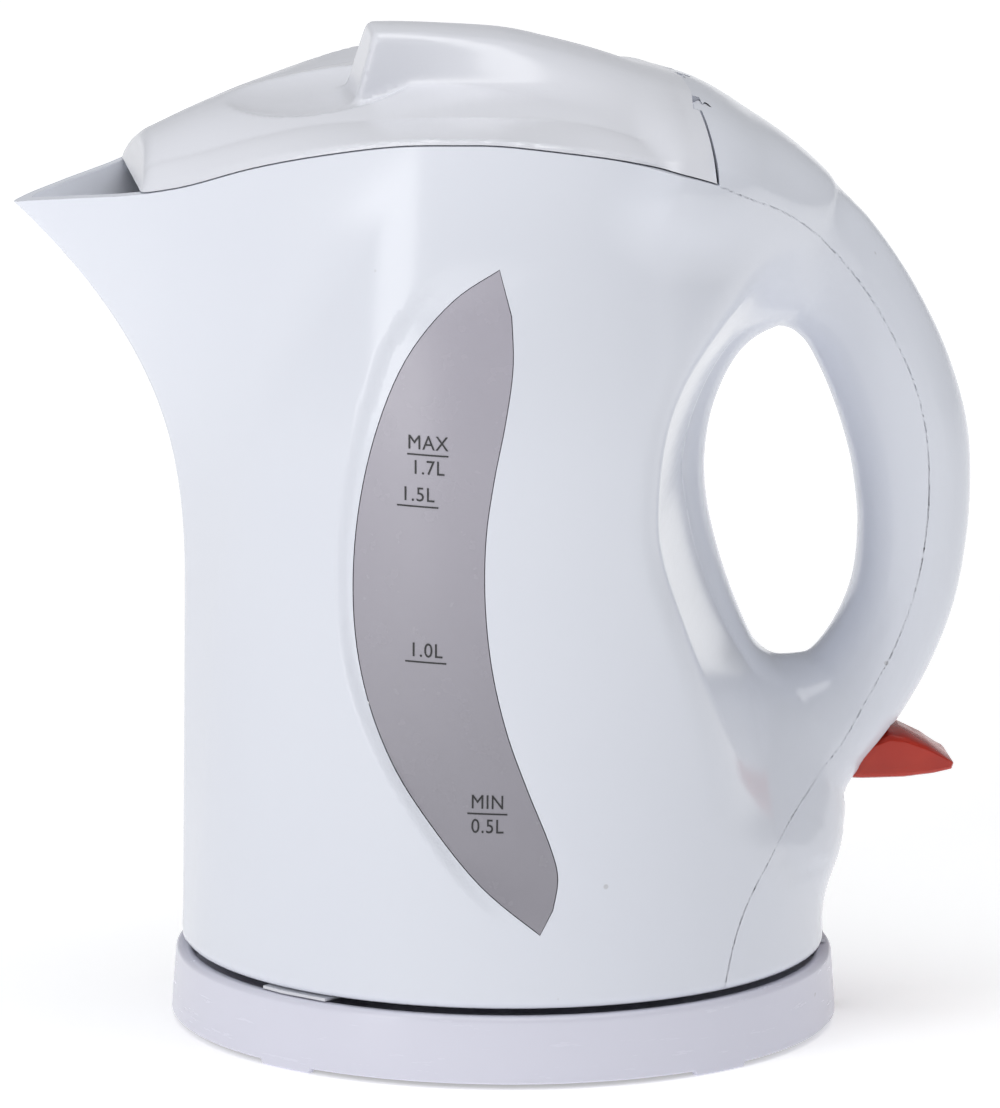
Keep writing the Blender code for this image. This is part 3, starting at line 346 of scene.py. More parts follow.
# %% Whole forms
def core_form(x, y, z):
    roof = z - rim_at(x) - np.where(x < 41, 6.0, 0.3)
    jug = trim(jug_form(x, y, z), roof, 0.8) + swoosh(x, y, z)
    return melt(jug, handle_form(x, y, z), 10)


def skin_form(x, y, z):
    return trim(core_form(x, y, z), JUG_FOOT - z, 3)


def lid_skin_form(x, y, z):
    return trim(trim(melt(lid_form(x, y, z), handle_form(x, y, z), 2), rim_at(x) - 3 - z, 0.6), x - 54, 1)


def water_form(x, y, z):
    """The space for water, open at the top."""
    rear = x - vessel_back_at(z) + WALL
    return trim(trim(trim(jug_form(x, y, z) + WALL, rear, 8), FLOOR_TOP - z, 4), z - rim_at(x) - 4, 1)


def room_form(x, y, z):
    """The hollow behind the water vessel and inside the handle."""
    vessel = trim(flank(x, y, z) + 1.0, x - vessel_back_at(z), 8)
    roof = z - rim_at(x) + np.where(x < 41, SKIN, -9)
    return trim(trim(trim(core_form(x, y, z) + SKIN, -vessel, 2), roof, 0.5), FLOOR_TOP - 25 - z, 1)


def lid_room_form(x, y, z):
    """The space under the lid's shell, whose wall is thicker round the thumb hollow."""
    under_hollow = 2.6 * np.clip(1.7 - ((x + 46) / 23) ** 2 - (y / 26) ** 2, 0, 1)
    return trim(trim(lid_form(x, y, z) + LID_WALL + under_hollow, x - 38, 1), rim_at(x) - 8 - z, 1)


def liner_form(x, y, z):
    """The part of that space which is also clear of the jug's wall."""
    return trim(lid_room_form(x, y, z) + 0.4, np.abs(y) - rim_width(x) + 3.4, 0.5)


WALL, SKIN, FLOOR_TOP = 3.0, 2.2, JUG_FOOT + 18.5

# %% [markdown]
# ## From depth to mesh
# A grid is laid over the form. Every cell that the surface passes through gets one corner of the mesh, and
# each grid edge that crosses the surface gets a four-sided face. The corners are then slid along the form's
# own slope until they lie on it, so the mesh is smooth at any grid size.

# %% Net over a form
def depths(form, axes):
    """The form's depth at every point of a grid, one sheet at a time."""
    y, z = np.meshgrid(axes[1], axes[2], indexing="ij")
    return np.stack([form(np.full_like(y, x), y, z) for x in axes[0]])


def settle(points, form, passes=5, probe=0.05):
    """Slides points along the form's slope until they lie on its surface."""
    for _ in range(passes):
        depth = form(*points.T)
        slope = np.stack([(form(*(points + d).T) - form(*(points - d).T)) / (2 * probe)
                          for d in np.eye(3) * probe], 1)
        step = np.clip(depth / np.maximum((slope ** 2).sum(1), 0.3), -0.8, 0.8)
        points = points - step[:, None] * slope
    return points


def net(form, low, high, step, passes=5):
    """(points, faces) of the form's surface, on a grid that grows while four faces share an edge."""
    for _ in range(8):
        points, faces = net_once(form, low, high, step, passes)
        sides = [np.stack([faces[:, k], faces[:, (k + 1) % 4]], 1) for k in range(4)]
        sides = np.sort(np.concatenate(sides), 1)
        if np.unique(sides, axis=0, return_counts=True)[1].max() == 2:
            break
        step *= 1.017
    return points, faces


def net_once(form, low, high, step, passes):
    """The same on one grid, whatever its edges share."""
    axes = [np.arange(a, b + step, step) for a, b in zip(low, high)]
    depth = depths(form, axes)
    solid = depth < 0
    shifts = [(p, q, r) for p in (0, 1) for q in (0, 1) for r in (0, 1)]
    size = np.array(depth.shape) - 1
    filled = sum(solid[p:size[0] + p, q:size[1] + q, r:size[2] + r].astype(np.int8) for p, q, r in shifts)
    cells = np.argwhere((filled > 0) & (filled < 8))
    number = np.full(depth.shape, -1)
    number[tuple(cells.T)] = np.arange(len(cells))
    total, hits = np.zeros((len(cells), 3)), np.zeros(len(cells))
    for start in shifts:
        for axis in range(3):
            if start[axis]:
                continue
            first = cells + start
            second = first + np.eye(3, dtype=int)[axis]
            a, b = depth[tuple(first.T)], depth[tuple(second.T)]
            crosses = (a < 0) != (b < 0)
            share = np.where(crosses, a / np.where(crosses, a - b, 1), 0)
            spot = first + share[:, None] * np.eye(3)[axis]
            total += spot * crosses[:, None]
            hits += crosses
    points = np.array(low) + step * total / hits[:, None]
    faces = []
    for axis in range(3):
        u, v = np.eye(3, dtype=int)[(axis + 1) % 3], np.eye(3, dtype=int)[(axis + 2) % 3]
        spots = np.argwhere(solid != np.roll(solid, -1, axis))
        round_edge = ((1, 1), (0, 1), (0, 0), (1, 0))
        ring = np.stack([number[tuple((spots - p * u - q * v).T)] for p, q in round_edge], 1)
        outward = solid[tuple(spots.T)]
        faces.append(np.where(outward[:, None], ring, ring[:, ::-1]))
    return settle(points, form, passes), np.concatenate(faces)


# %% [markdown]
# ## Pieces and cuts
# A piece is a mesh in the frame's metres. Cuts are Boolean modifiers, applied at once so that the next cut
# works on plain geometry, and their tools are removed afterwards.

# %% Piece helpers
ALL = object()


def open_edges(mesh):
    """How many edges don't have two faces, which a closed piece has none of."""
    check = bmesh.new()
    check.from_mesh(mesh)
    count = sum(len(edge.link_faces) != 2 for edge in check.edges)
    check.free()
    return count


def piece_from(name, points, faces):
    mesh = bpy.data.meshes.new(name)
    placed = (np.asarray(points) + (AXIS_X, 0, 0)) * MM
    mesh.from_pydata([tuple(p) for p in placed], [], [tuple(f) for f in faces])
    mesh.validate()
    made = bpy.data.objects.new(name, mesh)
    bpy.context.scene.collection.objects.link(made)
    return made


def copy_of(piece, name):
    made = bpy.data.objects.new(name, piece.data.copy())
    bpy.context.scene.collection.objects.link(made)
    return made


def carve(piece, tool, how="DIFFERENCE", keep_tool=False):
    """Cuts with, keeps or joins the tool, and applies it."""
    change = piece.modifiers.new("carve", "BOOLEAN")
    change.object, change.operation, change.solver = tool, how, "MANIFOLD"
    shaped = bpy.data.meshes.new_from_object(piece.evaluated_get(bpy.context.evaluated_depsgraph_get()))
    piece.modifiers.clear()
    piece.data = shaped
    if not keep_tool:
        bpy.data.objects.remove(tool)
    return piece


def edit_mesh(mesh, operator, **settings):
    """Runs one bmesh operator on a mesh, on every corner or face where a setting is ALL."""
    work = bmesh.new()
    work.from_mesh(mesh)
    settings = {key: getattr(work, key) if value is ALL else value for key, value in settings.items()}
    operator(work, **settings)
    work.to_mesh(mesh)
    work.free()


def prism(outline, low=-120.0, high=120.0):
    """A side-view outline pushed across the kettle."""
    ring = [tuple(p) for p in outline]
    points = [(x, low, z) for x, z in ring] + [(x, high, z) for x, z in ring]
    count = len(ring)
    walls = [(k, (k + 1) % count, (k + 1) % count + count, k + count) for k in range(count)]
    made = piece_from("tool", points, [tuple(range(count))[::-1], tuple(range(count, 2 * count))] + walls)
    edit_mesh(made.data, bmesh.ops.recalc_face_normals, faces=ALL)
    return made


def bar(radius, centre, low, high, sides=48):
    """A round bar across the kettle."""
    turns = np.linspace(0, 2 * math.pi, sides, endpoint=False)
    ring = [(centre[0] + radius * math.cos(a), centre[1] + radius * math.sin(a)) for a in turns]
    return prism(ring, low, high)


def smooth(piece, angle=32.0):
    piece.data.shade_smooth()
    piece.data.set_sharp_from_angle(angle=math.radians(angle))
    return piece


def moved_line(points, distance, count=160):
    """A side line shifted to its left by a distance."""
    curve = through(points, count)
    run = np.gradient(curve, axis=0)
    return curve + distance * np.stack([-run[:, 1], run[:, 0]], 1) / np.linalg.norm(run, axis=1)[:, None]


# %% [markdown]
# ## The nets
# The two skins are drawn finely because all that shows comes from them. The hollows are seldom seen, so a
# coarse grid does for them.

# %% Skin and hollows
SKIN_GRID, LID_GRID, WATER_GRID, HOLLOW_GRID, ROUGH_PASSES = 1.3, 1.1, 2.6, 2.2, 3
LID_BOX = (-100, -80, 196), (60, 80, 250)
skin = piece_from("skin", *net(skin_form, (-130, -83, 14), (119, 83, 240), SKIN_GRID))
lid_skin = piece_from("lid_skin", *net(lid_skin_form, *LID_BOX, LID_GRID))
water = piece_from("water", *net(water_form, (-130, -80, 32), (66, 80, 240), WATER_GRID, ROUGH_PASSES))
room = piece_from("room", *net(room_form, (20, -80, 8), (119, 80, 238), HOLLOW_GRID, ROUGH_PASSES))
lid_room = piece_from("lid_room", *net(lid_room_form, *LID_BOX, HOLLOW_GRID, ROUGH_PASSES))
liner_room = piece_from("liner_room", *net(liner_form, *LID_BOX, HOLLOW_GRID, ROUGH_PASSES))
for hollow in (skin, lid_skin, water, room, lid_room, liner_room):
    print(hollow.name, len(hollow.data.vertices), "corners", open_edges(hollow.data), "open edges")

# %% [markdown]
# ## Cutting the skin apart
# Two tools divide it: one follows the rim, the other the seam that runs down the middle of the handle and
# over the jug's heel. Pieces stand a seam's width apart, so a dark line 0.4 mm wide is left between them.

# %% Dividing tools
SEAM = 0.4


def above_rim(gap):
    curve = through(RIM, 200) + (0, gap)
    curve = curve[curve[:, 0] < LID_JOINT + 2]
    return prism([*curve, (curve[-1][0], 400), (-400, 400), (-400, curve[0][1])])


def behind_seam(gap):
    curve = moved_line(SEAM_LINE, gap)
    return prism([*curve, (curve[-1][0], -60), (200, -60), (200, 400), (curve[0][0], 400)])


# %% [markdown]
# ## The jug
# The jug is the skin in front of the seam and below the rim, hollowed for water, with the space under its
# floor left open and a seat for the heater plate. Both water windows are cut right through its flanks.

# %% Jug
WINDOW_AHEAD = ((-10.5, 199.3), (-21.3, 191.4), (-32.2, 177), (-39.5, 158), (-43.6, 136), (-44.3, 114),
                (-41.6, 95), (-35.5, 78), (-26.5, 63.5), (-14.8, 49), (-0.8, 37.4))
WINDOW_BEHIND = ((2.4, 43.5), (3.6, 51.5), (1.4, 60), (-4, 73.5), (-8.8, 87), (-12.3, 102), (-14, 118),
                 (-13.9, 134), (-12, 148.5), (-9.2, 163), (-7.4, 176), (-7.6, 188))
PLATE_SEAT, UNDER_ROOM = 53.0, 74.2


def window_ring(inset=0.0):
    ring = np.concatenate([through(WINDOW_AHEAD, 60), through(WINDOW_BEHIND, 60)])
    before, after = np.roll(ring, 1, 0), np.roll(ring, -1, 0)
    run = (ring - before) / np.linalg.norm(ring - before, axis=1)[:, None]
    run = run + (after - ring) / np.linalg.norm(after - ring, axis=1)[:, None]
    run /= np.linalg.norm(run, axis=1)[:, None]
    return ring + inset * np.stack([-run[:, 1], run[:, 0]], 1)


def drum(radius, low, high, sides=128):
    """An upright drum on the jug's axis."""
    turns = np.linspace(0, 2 * math.pi, sides, endpoint=False)
    ring = [(radius * math.cos(a), radius * math.sin(a)) for a in turns]
    points = [(x, y, low) for x, y in ring] + [(x, y, high) for x, y in ring]
    walls = [(k, (k + 1) % sides, (k + 1) % sides + sides, k + sides) for k in range(sides)]
    return piece_from("tool", points, [tuple(range(sides))[::-1], tuple(range(sides, 2 * sides))] + walls)


jug = copy_of(skin, "jug_shell")
carve(jug, above_rim(0.0))
carve(jug, behind_seam(SEAM / 2))
carve(jug, water, keep_tool=True)
carve(jug, room, keep_tool=True)
carve(jug, drum(UNDER_ROOM, 5, FLOOR_TOP - 3.5))
carve(jug, drum(PLATE_SEAT, 5, FLOOR_TOP + 4))
carve(jug, prism(window_ring()))
smooth(jug)
print("jug", len(jug.data.vertices), "corners")

# %% [markdown]
# ## The water windows
# A window is a smoked panel that fills its opening with a hair's gap all round, flush with the skin, and
# as thick as the jug's wall.

# %% Windows
windows = []
for name, low, high in (("window_near", -120, -8), ("window_far", 8, 120)):
    pane = copy_of(skin, name)
    carve(pane, prism(window_ring(0.22), low, high), "INTERSECT")
    carve(pane, water, keep_tool=True)
    windows.append(smooth(pane))
print("panes", [len(w.data.vertices) for w in windows])

# %% [markdown]
# ## The rear cover
# The cover is the skin behind the seam. At its front it stops at the lid's joint, but for a round nose that
# the lid turns on, with two slots for the lid's ears.

# %% Cover
LID_PIVOT, BARREL, EAR_AT, EAR_WIDE, EAR_RADIUS, FIT = (45.0, 226.0), 4.3, 16.0, 7.0, 2.5, 0.35
SWITCH_PIVOT = (78.0, 62.5)
SWITCH_SLOT = ((79.5, 56.4), (89, 54.4), (100, 58), (104, 72), (97.5, 73.4), (89, 70.6), (79.5, 68))
cover = carve(copy_of(skin, "cover_shell"), behind_seam(-SEAM / 2), "INTERSECT")
carve(cover, room, keep_tool=True)
carve(cover, water, keep_tool=True)
nose = carve(bar(BARREL, LID_PIVOT, -26, 26, 64), skin, "INTERSECT", keep_tool=True)
front = LID_JOINT + SEAM / 2
carve(cover, prism([(front - 60, 205), (front, 205), (front, 260), (front - 60, 260)]))
carve(cover, nose, "UNION")
x, z = LID_PIVOT
for y in (-EAR_AT, EAR_AT):
    low, high = y - EAR_WIDE / 2 - FIT, y + EAR_WIDE / 2 + FIT
    carve(cover, bar(EAR_RADIUS + FIT, LID_PIVOT, low, high))
    carve(cover, prism([(x - 12, z - 4.6), (x - 0.2, z - 4.6), (x - 0.2, z + 9), (x - 12, z + 9)], low, high))
carve(cover, prism(SWITCH_SLOT, -10.5, 10.5))
carve(cover, bar(1.4, SWITCH_PIVOT, -13.4, 13.4))
smooth(cover)
print("cover", len(cover.data.vertices), "corners")

# %% [markdown]
# ## The lid
# The lid is its own skin above the rim and ahead of the joint, hollowed from below. Two arms reach back under
# the cover's nose and end in the ears that the pin goes through.

# %% Lid
lid = carve(copy_of(lid_skin, "lid_shell"), above_rim(SEAM), "INTERSECT")
carve(lid, prism([(LID_JOINT - SEAM / 2, 190), (140, 190), (140, 260), (LID_JOINT - SEAM / 2, 260)]))
carve(lid, bar(BARREL + FIT, LID_PIVOT, -26.4, 26.4, 64))
carve(lid, lid_room, keep_tool=True)
for y in (-EAR_AT, EAR_AT):
    low, high = y - EAR_WIDE / 2, y + EAR_WIDE / 2
    arm = prism([(x - 20, z - 2.4), (x, z - 2.4), (x, z - 0.4), (x - 6.9, z - 0.4), (x - 6.9, z + 4.6),
                 (x - 20, z + 6.2)], low, high)
    carve(arm, bar(EAR_RADIUS, LID_PIVOT, low, high, 32), "UNION")
    carve(lid, arm, "UNION")
carve(lid, bar(1.3, LID_PIVOT, -30, 30, 32))
smooth(lid)
print("lid", len(lid.data.vertices), "corners")

# %% [markdown]
# ## Liner and filter frame
# The jug and lid drawn here are narrower at the top than the CAD ones, so the lid's liner and the filter's
# frame are copies of the CAD pieces, trimmed to these walls. The skins and hollows are no longer needed then.

# %% Liner and filter frame
trimmed = []
for name, hollow in (("lid_liner", liner_room), ("filter_frame", water)):
    copied = copy_of(frame["nodes"][name], name + "_trimmed")
    copied.matrix_world = frame["nodes"][name].matrix_world.copy()
    edit_mesh(copied.data, bmesh.ops.remove_doubles, verts=ALL, dist=1e-6)
    trimmed.append(carve(copied, hollow, "INTERSECT", keep_tool=True))
    print(copied.name, len(copied.data.vertices), "corners")

for tool in (skin, lid_skin, water, room, lid_room, liner_room):
    bpy.data.objects.remove(tool)


# %% [markdown]
# ## The power base
# The base is a turned moulding: a skirt with a rounded shoulder, a sunken deck and a tower with two ring
# grooves. Its profile is spun in code instead of with a Screw modifier, because four short feet hang from
# the skirt and a round-topped notch lets a lead out at the back, and both are only changes of height along
# the bottom edge.

# %% Base profile
FOOT_LIFT, DECK_LEVEL, TOWER, TOWER_TOP, DRAFT = 1.3, 14.2, 17.5, 27.2, 1.0
GROOVES = ((4.9, 8.1), (10.9, 14.1))
TAB_ANGLES, TAB_HALF, NOTCH_HALF, NOTCH_TOP = (-56.3, -137.7, 56.3, 137.7), 5.5, 2.55, 8.3


def arc(centre_r, centre_z, radius, start, end, count=7):
    turns = np.radians(np.linspace(start, end, count))
    return [(centre_r + radius * math.cos(a), centre_z + radius * math.sin(a)) for a in turns]


def base_profile():
    """Radius and height from the tower's bore, over the top and down the skirt to its bottom edge."""
    line = [(2.6, 16.5), (2.6, TOWER_TOP - 0.3), (2.9, TOWER_TOP)]
    for inner, outer in GROOVES:
        line += [(inner, TOWER_TOP), (inner, TOWER_TOP - 9), (outer, TOWER_TOP - 9), (outer, TOWER_TOP)]
    line += arc(TOWER - 1.2, TOWER_TOP - 1.2, 1.2, 90, 0)
    line += arc(TOWER + 1.5, DECK_LEVEL + 1.5, 1.5, 180, 270)
    top = BASE_RADIUS - DRAFT
    line += arc(top - 5.6, DECK_LEVEL + 1.2, 1.2, 270, 350)
    line += arc(top - 2.9, BASE_RIM - 0.8, 0.8, 150, 90)
    line += arc(top - 1.7, BASE_RIM - 1.7, 1.7, 90, 2, 10)
    line += [(BASE_RADIUS - 0.15, 4.0), (BASE_RADIUS - 0.05, FOOT_LIFT + 0.4)]
    line += [(BASE_RADIUS - 0.4, FOOT_LIFT), (BASE_RADIUS - 2.0, FOOT_LIFT)]
    line += [(BASE_RADIUS - 2.2, FOOT_LIFT + 0.4)]
    line += [(top - 5.9, DECK_LEVEL - 2.2), (TOWER - 2, DECK_LEVEL - 2.2), (TOWER - 2, 16.2)]
    return line + [(2.6, 16.2)]


def bottom_edge(height, degrees):
    """The skirt's bottom edge: lower at a foot, and arched at the lead's notch."""
    if height > FOOT_LIFT + 0.5:
        return height
    if min(abs(degrees - tab) for tab in TAB_ANGLES) < TAB_HALF:
        return height - FOOT_LIFT + 0.12
    off = abs(degrees)
    arch = NOTCH_TOP * math.sqrt(max(1 - (off / NOTCH_HALF) ** 2, 0)) if off < NOTCH_HALF else 0
    return max(height, arch + height - FOOT_LIFT)


def turned_base(name, steps=720):
    line, points, faces = base_profile(), [], []
    count = len(line)
    for k in range(steps):
        degrees = -180 + 360 * k / steps
        angle = math.radians(degrees)
        points += [(r * math.cos(angle), r * math.sin(angle), bottom_edge(z, degrees)) for r, z in line]
        for j in range(count):
            a, b = k * count + j, (k + 1) % steps * count + j
            c, d = (k + 1) % steps * count + (j + 1) % count, k * count + (j + 1) % count
            faces.append((a, d, c, b))
    return smooth(piece_from(name, points, faces), 40)


base = turned_base("base_shell")
print("base", len(base.data.vertices), "corners")

# %% [markdown]
# ## The switch
# The switch is a red see-through paddle whose top and underside meet in a crease along each side. The
# outline is laid at seven places across it and drawn in towards the ends, and a bevel rounds what is left.

# %% Switch
PADDLE = ((74.8, 59.4), (86.5, 58.4), (97, 58.5), (104.4, 59.3), (108.9, 60.3), (109.4, 61.9), (103.2, 66.3),
          (97.2, 69.3), (93.4, 69.9), (88.5, 67.4), (84, 66.2), (74.8, 65.6))
PADDLE_HALF = 10.0


def paddle_piece(name):
    ring = np.array(PADDLE)
    centre = ring.mean(0)
    stations = ((-1, 0.72), (-0.93, 0.9), (-0.8, 1), (0, 1), (0.8, 1), (0.93, 0.9), (1, 0.72))
    points, faces, count = [], [], len(ring)
    for share, height in stations:
        shrunk = centre + (ring - centre) * (1 - 0.12 * (1 - height), height)
        points += [(px, share * PADDLE_HALF, pz) for px, pz in shrunk]
    for s in range(len(stations) - 1):
        for k in range(count):
            a, b = s * count + k, s * count + (k + 1) % count
            faces.append((a, b, b + count, a + count))
    faces += [tuple(range(count))[::-1], tuple(range(len(points) - count, len(points)))]
    made = piece_from(name, points, faces)
    edit_mesh(made.data, bmesh.ops.recalc_face_normals, faces=ALL)
    carve(made, bar(1.26, SWITCH_PIVOT, -30, 30, 32))
    edge = made.modifiers.new("edge", "BEVEL")
    edge.width, edge.segments, edge.limit_method, edge.angle_limit = 0.5 * MM, 3, "ANGLE", math.radians(28)
    return smooth(made, 40)


paddle = paddle_piece("switch_paddle")
print("paddle", len(paddle.data.vertices), "corners before its bevel")

# %% [markdown]
# ## The level marks
# The fill marks are printed on the near pane: a short line for each level with its number. They are real
# geometry, a tenth of a millimetre thick, and every corner is dropped onto the pane along Y, so the print
# bends with it.

# %% Marks
MARKS = ((-27.5, 154.1, 1.3, "MAX"), (-27.5, 154.1, -4.7, "1.7L"), (-29.8, 141.5, 1.3, "1.5L"),
         (-27.9, 103.6, 1.3, "1.0L"), (-13.4, 67.1, 1.3, "MIN"), (-13.4, 67.1, -4.7, "0.5L"))
PRINT, LETTER, LINE_LONG, LINE_THICK = 0.10, 4.9, 9.4, 0.38


def onto_pane(points, proud):
    """Points of the side view dropped onto the near flank, and left proud of it."""
    y = np.full(len(points), -72.0)
    for _ in range(12):
        depth = skin_form(points[:, 0], y, points[:, 1])
        y = y + depth
    return np.stack([points[:, 0], y - proud, points[:, 1]], 1)


def printed(name, meshes):
    """One piece from flat side-view shapes, each a (points, faces) pair."""
    points, faces = [], []
    for flat, polygons in meshes:
        start, count = len(points), len(flat)
        points += list(onto_pane(flat, PRINT)) + list(onto_pane(flat, -0.05))
        faces += [tuple(start + k for k in polygon) for polygon in polygons]
        faces += [tuple(start + count + k for k in polygon[::-1]) for polygon in polygons]
        uses = {}
        for polygon in polygons:
            for a, b in zip(polygon, polygon[1:] + polygon[:1]):
                uses[a, b] = True
        faces += [(start + b, start + a, start + a + count, start + b + count)
                  for a, b in uses if (b, a) not in uses]
    return piece_from(name, points, faces)


def lettering(text, centre, baseline):
    """The flat shape of a short text, upright in the side view."""
    font = bpy.data.curves.new("text", "FONT")
    font.body, font.size, font.align_x, font.space_character = text, LETTER, "CENTER", 1.08
    holder = bpy.data.objects.new("text", font)
    bpy.context.scene.collection.objects.link(holder)
    shape = bpy.data.meshes.new_from_object(holder.evaluated_get(bpy.context.evaluated_depsgraph_get()))
    edit_mesh(shape, bmesh.ops.remove_doubles, verts=ALL, dist=1e-4)
    flat = np.array([(v.co.x * 0.86 + centre, v.co.y + baseline) for v in shape.vertices])
    polygons = [tuple(p.vertices) if p.normal.z > 0 else tuple(p.vertices)[::-1] for p in shape.polygons]
    bpy.data.objects.remove(holder)
    return flat, polygons


def rule(centre, height, count=13):
    xs = np.linspace(centre - LINE_LONG / 2, centre + LINE_LONG / 2, count)
    flat = np.array([(px, height + side * LINE_THICK / 2) for side in (-1, 1) for px in xs])
    return flat, [(k, k + 1, k + 1 + count, k + count) for k in range(count - 1)]


mark_shapes = [lettering(text, centre, height + offset) for centre, height, offset, text in MARKS]
mark_shapes += [rule(centre, height) for centre, height in sorted({(m[0], m[1]) for m in MARKS})]
marks = printed("level_marks", mark_shapes)
print("marks", len(marks.data.vertices), "corners")


# %% [markdown]
# ## Shader maths
# A finish is written as an expression: `grain * 0.02 + 0.3` makes the Math nodes itself. The wrapper holds
# a socket, and every operator adds one node. Colours are mixed with Mix nodes, because a Math node would
# turn them grey.

# %% Shader helpers
class Wire:
    """A socket of a finish's node tree that can be added, multiplied and compared."""

    def __init__(self, finish, socket):
        self.finish, self.socket = finish, socket

    def maths(self, operation, *others, swap=False):
        values = [self, *others]
        if swap:
            values.reverse()
        return self.finish.node("ShaderNodeMath", {"operation": operation}, dict(enumerate(values)))

    def __add__(self, other):
        return self.maths("ADD", other)

    def __sub__(self, other):
        return self.maths("SUBTRACT", other)

    def __rsub__(self, other):
        return self.maths("SUBTRACT", other, swap=True)

    def __mul__(self, other):
        return self.maths("MULTIPLY", other)

    def __gt__(self, other):
        return self.maths("GREATER_THAN", other)

    __radd__, __rmul__ = __add__, __mul__

    def between(self, low, high):
        """0 below low, 1 above high, and a soft step in between."""
        return self.finish.node("ShaderNodeMapRange", {"interpolation_type": "SMOOTHSTEP"},
                                {"Value": self, "From Min": low, "From Max": high})


class Finish:
    """A material with one Principled shader, whose plain numbers are set on its own sockets."""

    def __init__(self, name, colour, roughness, **plain):
        self.material = bpy.data.materials.new(name)
        self.material.use_nodes = True
        self.tree = self.material.node_tree
        self.shader = self.tree.nodes["Principled BSDF"]
        self.shader.inputs["Base Color"].default_value = (*colour, 1)
        self.shader.inputs["Roughness"].default_value = roughness
        for socket, value in plain.items():
            self.shader.inputs[socket.replace("_", " ")].default_value = value

    def node(self, kind, settings, values, output=0):
        made = self.tree.nodes.new(kind)
        for name, value in settings.items():
            setattr(made, name, value)
        for socket, value in values.items():
            if isinstance(value, Wire):
                self.tree.links.new(value.socket, made.inputs[socket])
            else:
                made.inputs[socket].default_value = value
        return Wire(self, made.outputs[output])

    def place(self):
        return self.node("ShaderNodeTexCoord", {}, {}, "Object")

    def axis(self, name):
        return self.node("ShaderNodeSeparateXYZ", {}, {"Vector": self.place()}, name)

    def noise(self, scale, detail=2.0, roughness=0.5, stretch=(1, 1, 1)):
        spot = self.node("ShaderNodeMapping", {}, {"Vector": self.place(), "Scale": stretch})
        return self.node("ShaderNodeTexNoise", {}, {"Vector": spot, "Scale": scale, "Detail": detail,
                                                    "Roughness": roughness}, "Fac")

    def cells(self, scale):
        return self.node("ShaderNodeTexVoronoi", {}, {"Vector": self.place(), "Scale": scale}, "Distance")

    def mix(self, share, first, second):
        """Two colours by a share from 0 to 1."""
        made = self.tree.nodes.new("ShaderNodeMix")
        made.data_type = "RGBA"
        for socket, value in ((0, share), (6, first), (7, second)):
            if isinstance(value, Wire):
                self.tree.links.new(value.socket, made.inputs[socket])
            else:
                made.inputs[socket].default_value = (*value, 1) if socket else value
        return Wire(self, made.outputs[2])

    def feed(self, socket, wire):
        self.tree.links.new(wire.socket, self.shader.inputs[socket])

    def relief(self, height, depth):
        """Bump from a height, whose full range is this many metres deep."""
        self.feed("Normal", self.node("ShaderNodeBump", {}, {"Height": height, "Distance": depth,
                                                              "Strength": 1.0}, "Normal"))


# %% [markdown]
# ## White plastic
# The kettle is polypropylene with a cool, bluish white. A real moulding isn't mirror flat: it has slow
# sinks a few centimetres across, a faint orange peel, hair scratches that only change the gloss, and a
# dark speck here and there. The outer half of the handle also has a fine stipple along its crest.

# %% White finishes
def white_plastic(name, colour, deep, roughness, stippled=False):
    finish = Finish(name, colour, roughness, IOR=1.49, Specular_IOR_Level=0.5)
    cloud = finish.noise(14.0, 3.0)
    tint = finish.mix(cloud, colour, deep)
    spots = finish.cells(95.0)
    rare = finish.noise(37.0, 0.0) > 0.66
    dots = (1 - spots.between(0.045, 0.075)) * rare
    tint = finish.mix(dots * 0.35, tint, (0.32, 0.30, 0.28))
    finish.feed("Base Color", tint)
    scratch = finish.noise(60.0, 4.0, 0.7, (1.0, 1.0, 9.0))
    finish.feed("Roughness", scratch * 0.10 + (roughness - 0.05))
    peel = finish.noise(420.0, 1.0) * 0.16 + finish.noise(28.0, 1.0) * 0.84
    if stippled:
        crest = finish.axis("X").between(0.072, 0.086) * finish.axis("Z").between(0.085, 0.11)
        flat = 1 - finish.axis("Y").maths("ABSOLUTE").between(0.009, 0.0125)
        peel = peel + (1 - finish.cells(900.0)) * crest * flat * 0.7
    finish.relief(peel, 0.00006)
    return finish.material


gloss_white = white_plastic("gloss_white", (0.80, 0.825, 0.89), (0.765, 0.79, 0.87), 0.17)
cover_white = white_plastic("cover_white", (0.80, 0.825, 0.89), (0.765, 0.79, 0.87), 0.17, stippled=True)
lid_white = white_plastic("lid_white", (0.80, 0.815, 0.865), (0.775, 0.785, 0.845), 0.24)
base_white = white_plastic("base_white", (0.77, 0.77, 0.87), (0.735, 0.735, 0.84), 0.26)
inner_white = white_plastic("inner_white", (0.78, 0.79, 0.83), (0.74, 0.75, 0.80), 0.4)


# %% [markdown]
# ## Smoked pane, red paddle and black parts
# The pane is grey and slightly cloudy, and painted darker towards its foot: painted shade for the dim lower
# inside of the jug. The paddle is a red that lets some light through. The black parts have a fine
# spark-eroded grain.

# %% Coloured plastics
def smoked():
    finish = Finish("smoked_pane", (0.40, 0.39, 0.44), 0.22, IOR=1.5)
    # painted shade: the pane's colour darkens towards its foot, standing in for the dim lower inside of the
    # jug
    low = 1 - finish.axis("Z").between(0.04, 0.19)
    cloud = finish.noise(22.0, 4.0, 0.6)
    # the darker of these two colours is painted shade by height; the cloud only adds a random tone
    cloud_and_painted_shade = finish.mix(low * 0.75 + cloud * 0.25, (0.475, 0.455, 0.52), (0.285, 0.275, 0.31))
    finish.feed("Base Color", cloud_and_painted_shade)
    finish.feed("Roughness", finish.noise(180.0, 3.0) * 0.12 + 0.2)
    finish.relief(finish.noise(700.0, 2.0) * 0.3 + finish.noise(40.0, 1.0) * 0.7, 0.00004)
    return finish.material


